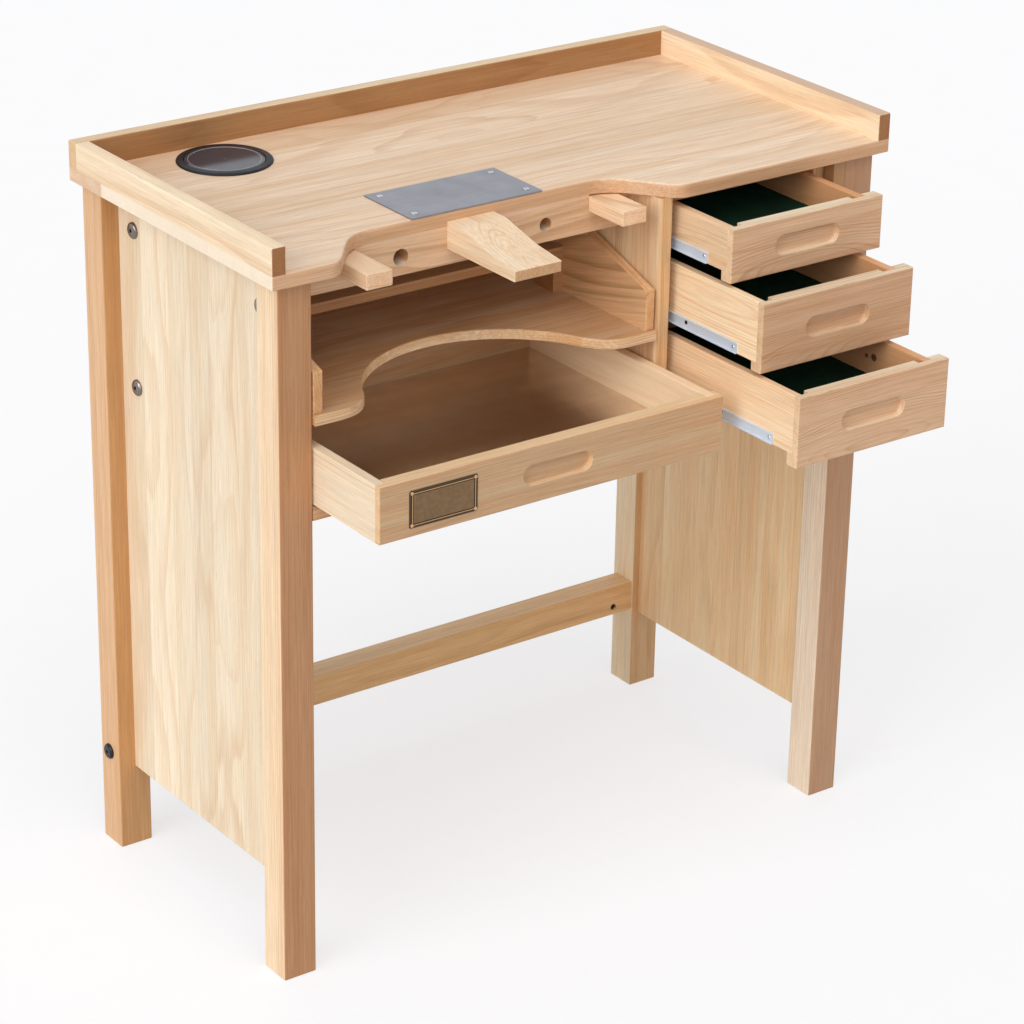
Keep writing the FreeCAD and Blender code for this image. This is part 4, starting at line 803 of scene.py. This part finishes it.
# %% Moulded plastics
HANDLED_SIZE = 30.0               # millimetres between spots that hands have polished
HANDLED_RANGE = (0.3, 0.7)
POLISHED, UNTOUCHED = 0.8, 1.2    # what the roughness is multiplied by
GRAIN_HEIGHT = 0.03               # millimetres


def moulded_plastic(name, pale, deep, roughness, grain_size, shine=0.5):
    """Fine noise is the mould's texture, and broad noise mixes two tones and moves the roughness from
    polished to untouched. The grain's size is in millimetres."""
    material, tree, surface = new_material(name)
    where = add(tree, "ShaderNodeTexCoord").outputs["Object"]
    fine = add(tree, NOISE, inputs={"Vector": where, "Scale": 1 / (grain_size * MM)}).outputs[0]
    broad = add(tree, NOISE, inputs={"Vector": where, "Scale": 1 / (HANDLED_SIZE * MM), "Detail": 3.0})
    broad = broad.outputs[0]
    colour = add(tree, MIX, broad, inputs={MIX_A: linear(pale), MIX_B: linear(deep)},
                 data_type="RGBA").outputs[MIX_COLOUR]
    rough = add(tree, REMAP, broad, *HANDLED_RANGE, roughness * POLISHED, roughness * UNTOUCHED).outputs[0]
    bump = add(tree, "ShaderNodeBump", inputs={"Height": fine, "Strength": 0.1,
                                               "Distance": GRAIN_HEIGHT * MM})
    plastic = add(tree, "ShaderNodeBsdfPrincipled", inputs={
        "Base Color": colour, "Roughness": rough, "Normal": bump.outputs[0], "Specular IOR Level": shine})
    tree.links.new(plastic.outputs[0], surface)
    return material


black_abs = moulded_plastic("abs_black_moulded", "#14161C", "#0E1014", 0.42, 0.6, shine=0.25)
smoked_acrylic = moulded_plastic("acrylic_smoked_polished", "#2F3646", "#282E3C", 0.12, 4.0)
# pale grey: a painted highlight on the lid's raised line
painted_highlight_line = moulded_plastic("acrylic_line_painted_highlight", "#A8A8B0", "#9A9AA2", 0.15, 2.0)
print("the acrylic's line is", painted_highlight_line.name)

# %% [markdown]
# ## The cable grommet
# A black ring is let into the top, and a smoked lid lies in it. Both could stay as the plain CAD solids,
# but the ring's flange is a soft curve, and the lid is a shallow dish with a fine raised line near its edge
# and a small pip in the middle, where the mould was filled. So two turned pieces replace them.

# %% Ring, lid and the lid's line
GROMMET = to_frame(185.5, 413.0, 1014.0)
GROMMET_STEPS = 128
FLANGE_RADIUS, FLANGE_RISE, FLANGE_ROUND = 65.5, 3.0, 3.4
bead = [(FLANGE_RADIUS - FLANGE_ROUND * (1 - np.cos(a)), FLANGE_RISE * np.sin(a))
        for a in np.linspace(0, np.pi / 2, 9)]
ring_profile = ([(56.5, -17.0), (60.0, -17.0), (60.0, 0.0), (65.4, 0.0)] + bead + [(56.6, 3.0), (55.6, 2.8),
                (55.2, 2.2), (55.2, 0.0), (50.0, 0.0), (50.0, -2.0), (56.5, -2.0)])
grommet = surface_piece("grommet_flange", turned(ring_profile, GROMMET, "up", GROMMET_STEPS), black_abs,
                        "carcass", hollow=True)
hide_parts("grommet_ring")

lid_profile = [(54.0, 0.0), (54.6, 0.6), (54.6, 2.0), (54.1, 2.6), (53.2, 2.9), (49.4, 2.9), (49.2, 2.7),
               (30.0, 2.7), (10.0, 2.7), (2.2, 2.7), (2.0, 2.9), (1.2, 3.0), (0.05, 3.0)]
lid = surface_piece("grommet_cover", turned(lid_profile, GROMMET, "up", GROMMET_STEPS), smoked_acrylic,
                    "grommet_lid")
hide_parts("grommet_lid")
# the pale line is a painted highlight of the raised ring
line_profile = [(48.9, 2.6), (49.1, 3.0), (49.7, 3.0), (49.9, 2.6)]
surface_piece("grommet_cover_line", turned(line_profile, GROMMET, "up", GROMMET_STEPS), painted_highlight_line,
              "grommet_lid", hollow=True)

# %% [markdown]
# ## Rubbed brass
# A small cast plate is pinned to the left of the catch drawer. Its raised line and pins are rubbed bright,
# and the sunk field has gone dark. The two could be two materials, but wear follows height, so one finish
# looks at how far each point stands out.

# %% Rubbed brass
WORN_SIZE = 6.0                   # millimetres between spots that are rubbed more and less
WORN_SHARE = 0.12                 # what that adds to the height
RUBBED_RANGE = (0.5, 1.0)         # where patina ends and where brass is fully bright
PATINA_ROUGH, BRASS_ROUGH = 0.55, 0.32


def rubbed_brass(name, face, depth):
    """High = share of the depth from the sunk field up to the face, in millimetres towards the front. It
    mixes dark patina and bright brass and smooths the roughness."""
    material, tree, surface = new_material(name)
    where = add(tree, "ShaderNodeTexCoord").outputs["Object"]
    out = add(tree, SPLIT, where).outputs["Y"]
    worn = add(tree, NOISE, inputs={"Vector": where, "Scale": 1 / (WORN_SIZE * MM), "Detail": 4.0}).outputs[0]
    high = add(tree, REMAP, out, (face + depth) * MM, face * MM, 0.0, 1.0).outputs[0]
    high = add(tree, MATHS, worn, WORN_SHARE, high, operation="MULTIPLY_ADD").outputs[0]
    high = add(tree, REMAP, high, *RUBBED_RANGE, 0.0, 1.0).outputs[0]
    colour = add(tree, MIX, high, inputs={MIX_A: linear("#57483A"), MIX_B: linear("#D2A878")},
                 data_type="RGBA").outputs[MIX_COLOUR]
    rough = add(tree, REMAP, high, 0.0, 1.0, PATINA_ROUGH, BRASS_ROUGH).outputs[0]
    bump = add(tree, "ShaderNodeBump", inputs={"Height": worn, "Strength": 0.3, "Distance": 0.1 * MM})
    brass = add(tree, "ShaderNodeBsdfPrincipled", inputs={
        "Base Color": colour, "Metallic": 1.0, "Roughness": rough, "Normal": bump.outputs[0]})
    tree.links.new(brass.outputs[0], surface)
    return material


PLATE = to_frame(164.0, -135.0, 725.5)  # middle of the plate's back, on the face of the catch drawer
PLATE_WIDTH, PLATE_HEIGHT, PLATE_CORNER, PLATE_THICK = 104.0, 51.0, 3.0, 2.0
FIELD_DEPTH = 1.2                       # from the raised line back to where the brass is darkest
aged_brass = rubbed_brass("brass_cast_and_rubbed", float(PLATE[1]) - PLATE_THICK, FIELD_DEPTH)
print("the plate's face is", PLATE_THICK, "mm in front of the drawer")

# %% [markdown]
# ## The name plate
# The plate has rounded corners, a raised line and four pins, and its field is bare here. A bevelled box
# would give the corners but not the line, so one profile of inset and height is carried round a rounded
# rectangle. The pins are turned.

# %% A cast plate with a bare field
CORNER_STEPS = 16
SHARPEST_CORNER = 0.3                   # millimetres, which the corners of the field keep


def stamped(profile, width, height, corner, centre):
    """A profile of (inset, height) carried round a rounded rectangle that faces the front: the corners
    are quarter circles of radius (corner - inset), down to the sharpest corner."""
    inset, out = np.array(profile, float).T[:, :, None]
    quarter = np.linspace(0, np.pi / 2, CORNER_STEPS)
    t = (np.arange(4)[:, None] * np.pi / 2 + quarter).ravel()[None, :]
    turn = np.maximum(corner - inset, SHARPEST_CORNER)
    sign_x = np.repeat([1, -1, -1, 1], CORNER_STEPS)[None, :]
    sign_z = np.repeat([1, 1, -1, -1], CORNER_STEPS)[None, :]
    x = sign_x * (width / 2 - inset - turn) + turn * np.cos(t)
    z = sign_z * (height / 2 - inset - turn) + turn * np.sin(t)
    return centre + np.stack([x, -out * np.ones_like(x), z], axis=-1)


plate_profile = [(0.6, 0.0), (0.0, 0.2), (0.0, 0.7), (0.5, 1.1), (3.4, 1.1), (3.7, 1.9), (4.6, 1.9),
                 (4.9, 1.1), (6.0, 1.1), (6.3, 1.47), (24.0, 1.47)]
plate = surface_piece("bare_name_plate",
                      stamped(plate_profile, PLATE_WIDTH, PLATE_HEIGHT, PLATE_CORNER, PLATE),
                      aged_brass, "catch_drawer")
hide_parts("name_plate")

PIN_INSET = 3.6                         # from the plate's edges to the middle of a pin
PIN_STEPS = 24
pin_profile = [(2.6, 1.0), (2.6, 1.4), (2.2, 1.9), (1.4, 2.0), (0.05, 2.0)]
for k, (x_side, z_side) in enumerate(((-1, -1), (1, -1), (-1, 1), (1, 1))):
    pin_place = PLATE + (x_side * (PLATE_WIDTH / 2 - PIN_INSET), 0.0, z_side * (PLATE_HEIGHT / 2 - PIN_INSET))
    surface_piece(f"name_plate_pin_{k}", turned(pin_profile, pin_place, "front", PIN_STEPS),
                  aged_brass, "catch_drawer")

# %% [markdown]
# ## Screws in the drawer slides
# Each drawer member is held by a pan-head screw with a cross recess. The recess could be cut with a boolean,
# which leaves slivers in so small a head. A height map on rings of points has none: a low dome, less a
# cross-shaped pit.

# %% Pan-head screws
HEAD_RADIUS, HEAD_RISE = 3.0, 1.2       # millimetres
HEAD_RINGS, HEAD_STEPS = 10, 48
INNERMOST_RING = 0.02                   # share of the radius at which one small face closes the head
ARM_HALF_WIDTH, ARM_LENGTH, PIT_DEPTH = 0.45, 1.7, 0.8
ARM_SLOPE, END_SLOPE = 0.15, 0.3        # width of the pit's sloping sides and ends


def pan_head(centre, facing):
    """Height = rise * (1 - (r / radius) ** 4) ** 0.5, less a pit where the smaller of |x| and |y| is
    under half the arm's width and the larger is under the arm's length."""
    share = np.linspace(1.0, INNERMOST_RING, HEAD_RINGS)
    r = HEAD_RADIUS * np.concatenate([[1.0], share])[:, None]
    t = np.linspace(0, 2 * np.pi, HEAD_STEPS, endpoint=False)[None, :]
    x, y = r * np.cos(t), r * np.sin(t)
    dome = HEAD_RISE * (1 - np.minimum(np.abs(r / HEAD_RADIUS), 1) ** 4) ** 0.5
    small, large = np.minimum(abs(x), abs(y)), np.maximum(abs(x), abs(y))
    pit = np.clip((ARM_HALF_WIDTH - small) / ARM_SLOPE, 0, 1)
    pit = pit * np.clip((ARM_LENGTH - large) / END_SLOPE, 0, 1)
    height = dome * np.ones_like(t) - PIT_DEPTH * pit
    height[0] = 0.0
    across, over, outward = (np.array(axis, float) for axis in AXES[facing])
    return centre + x[..., None] * across + y[..., None] * over + height[..., None] * outward


SLIDE_SCREWS = {1: (-42.0, 926.0), 2: (-109.3, 819.7), 3: (-191.0, 719.0)}      # bench measures y and z
SLIDE_FACES = {"left": 645.0, "right": 885.5}       # outer faces of the drawer members, bench measure x
for k, (y, z) in SLIDE_SCREWS.items():
    for facing, x in SLIDE_FACES.items():
        surface_piece(f"slide_screw_{k}_{facing}", pan_head(to_frame(x, y, z), facing), bright_screws,
                      f"drawer_{k}")

# %% [markdown]
# ## Spare holes in the drawer slides
# Each drawer member has a spare hole behind its screw, punched and slightly sunk. The CAD member is never
# cut here. No light comes out of so small a hole, so a small turned dish painted near black stands for it:
# painted shade.

# %% Punched holes
HOLE_BEHIND, HOLE_ABOVE = 99.5, 2.3     # millimetres from the screw
HOLE_STEPS = 32
# near black: painted shade of the hole
painted_shade_hole_finish = worked_metal("steel_painted_shade_in_the_hole", "#1C1C20", "#101014", 0.55, "Z", SCREW_LINES,
                            metallic=0.4)
hole_profile = [(2.9, 0.0), (2.8, 0.25), (2.3, 0.30), (1.9, 0.16), (1.4, 0.06), (0.05, 0.05)]
for k, (y, z) in SLIDE_SCREWS.items():
    for facing, x in SLIDE_FACES.items():
        hole = turned(hole_profile, to_frame(x, y + HOLE_BEHIND, z + HOLE_ABOVE), facing, HOLE_STEPS)
        surface_piece(f"slide_hole_{k}_{facing}", hole, painted_shade_hole_finish, f"drawer_{k}")

# %% [markdown]
# ## Floor and room
# The bench stands on a pale floor in a white room. A modelled room would cost time and show its corners in
# the metal, so the world's colour is the room. To the camera and in mirrors it is plain white, and other
# rays get less of it, so the wood keeps its shading. The floor glows a little and keeps the soft shadow.

# %% Floor and world
AMBIENT = 0.44                    # what the room gives to every surface
FLOOR_REACH = 20.0                # metres from the bench to the floor's edge
FLOOR_GLOW = 0.66
SPECKS_PER_METRE = 8.0


def seen_directly(tree):
    """1 for camera, mirror and glass rays, and 0 for the light that surfaces pass on."""
    path = add(tree, "ShaderNodeLightPath").outputs
    seen = add(tree, MATHS, path["Is Camera Ray"], path["Is Glossy Ray"], operation="MAXIMUM").outputs[0]
    return add(tree, MATHS, seen, path["Is Transmission Ray"], operation="MAXIMUM").outputs[0]


def pale_floor(name):
    """Specked paint + glow where it is seen directly, and plain grey paint for other rays."""
    material, tree, surface = new_material(name)
    where = add(tree, "ShaderNodeTexCoord").outputs["Object"]
    specks = add(tree, NOISE, inputs={"Vector": where, "Scale": SPECKS_PER_METRE, "Detail": 3.0}).outputs[0]
    colour = add(tree, MIX, specks, inputs={MIX_A: linear("#9E9E9E"), MIX_B: linear("#A1A1A1")},
                 data_type="RGBA").outputs[MIX_COLOUR]
    glow = add(tree, "ShaderNodeEmission", linear("#FDFDFF"), FLOOR_GLOW)
    matt = add(tree, "ShaderNodeBsdfDiffuse", colour)
    bright = add(tree, "ShaderNodeAddShader", matt.outputs[0], glow.outputs[0])
    other = add(tree, "ShaderNodeBsdfDiffuse", linear("#DCDCDC"))
    both = add(tree, "ShaderNodeMixShader", seen_directly(tree), other.outputs[0], bright.outputs[0])
    tree.links.new(both.outputs[0], surface)
    return material


floor_mesh = bpy.data.meshes.new("floor")
corners = [(x * FLOOR_REACH, y * FLOOR_REACH, 0) for x, y in ((-1, -1), (1, -1), (1, 1), (-1, 1))]
floor_mesh.from_pydata(corners, [], [(0, 1, 2, 3)])
floor_mesh.materials.append(pale_floor("floor_painted_matt"))
floor = bpy.data.objects.new("floor", floor_mesh)
bpy.context.scene.collection.objects.link(floor)

world = bpy.data.worlds.new("white_room")
world.use_nodes = True
sky = world.node_tree
sky.nodes.clear()
room_level = add(sky, REMAP, seen_directly(sky), 0.0, 1.0, AMBIENT, 1.0).outputs[0]
room = add(sky, "ShaderNodeBackground", linear("#FFFFFF"), room_level)
add(sky, "ShaderNodeOutputWorld", room.outputs[0])
bpy.context.scene.world = world
print("the floor is", 2 * FLOOR_REACH, "m across")

# %% [markdown]
# ## Lamps
# A broad soft light comes from the left, a second one from above and in front, and a weak third from low in
# front, as from a window and two pale walls. Lamps near the bench would fade across it, so these are suns,
# far away and wide. With the room they light a surface that faces left, up or to the front by the levels
# printed below, and at a level of one a surface renders about as its colour is written.

# %% Lamps
LAMPS = {                         # level on a surface that faces the lamp, and the direction it comes from
    "soft_key": (0.465, (-0.86, -0.20, 0.47)),
    "front_fill": (0.27, (-0.20, -0.45, 0.87)),
    "low_fill": (0.10, (-0.40, -0.88, 0.26)),
}
LAMP_WIDTH = 0.8                  # radians across, which makes the shadows soft
for name, (strength, direction) in LAMPS.items():
    lamp = bpy.data.objects.new(name, bpy.data.lights.new(name, "SUN"))
    lamp.data.energy = strength * np.pi
    lamp.data.angle = LAMP_WIDTH
    lamp.rotation_euler = Vector(direction).to_track_quat("Z", "Y").to_euler()
    bpy.context.scene.collection.objects.link(lamp)
for side, normal in {"left": (-1, 0, 0), "top": (0, 0, 1), "front": (0, -1, 0)}.items():
    lit = AMBIENT + sum(strength * max(0, Vector(direction).dot(normal))
                        for strength, direction in LAMPS.values())
    print(side, "is lit at", round(lit, 2))
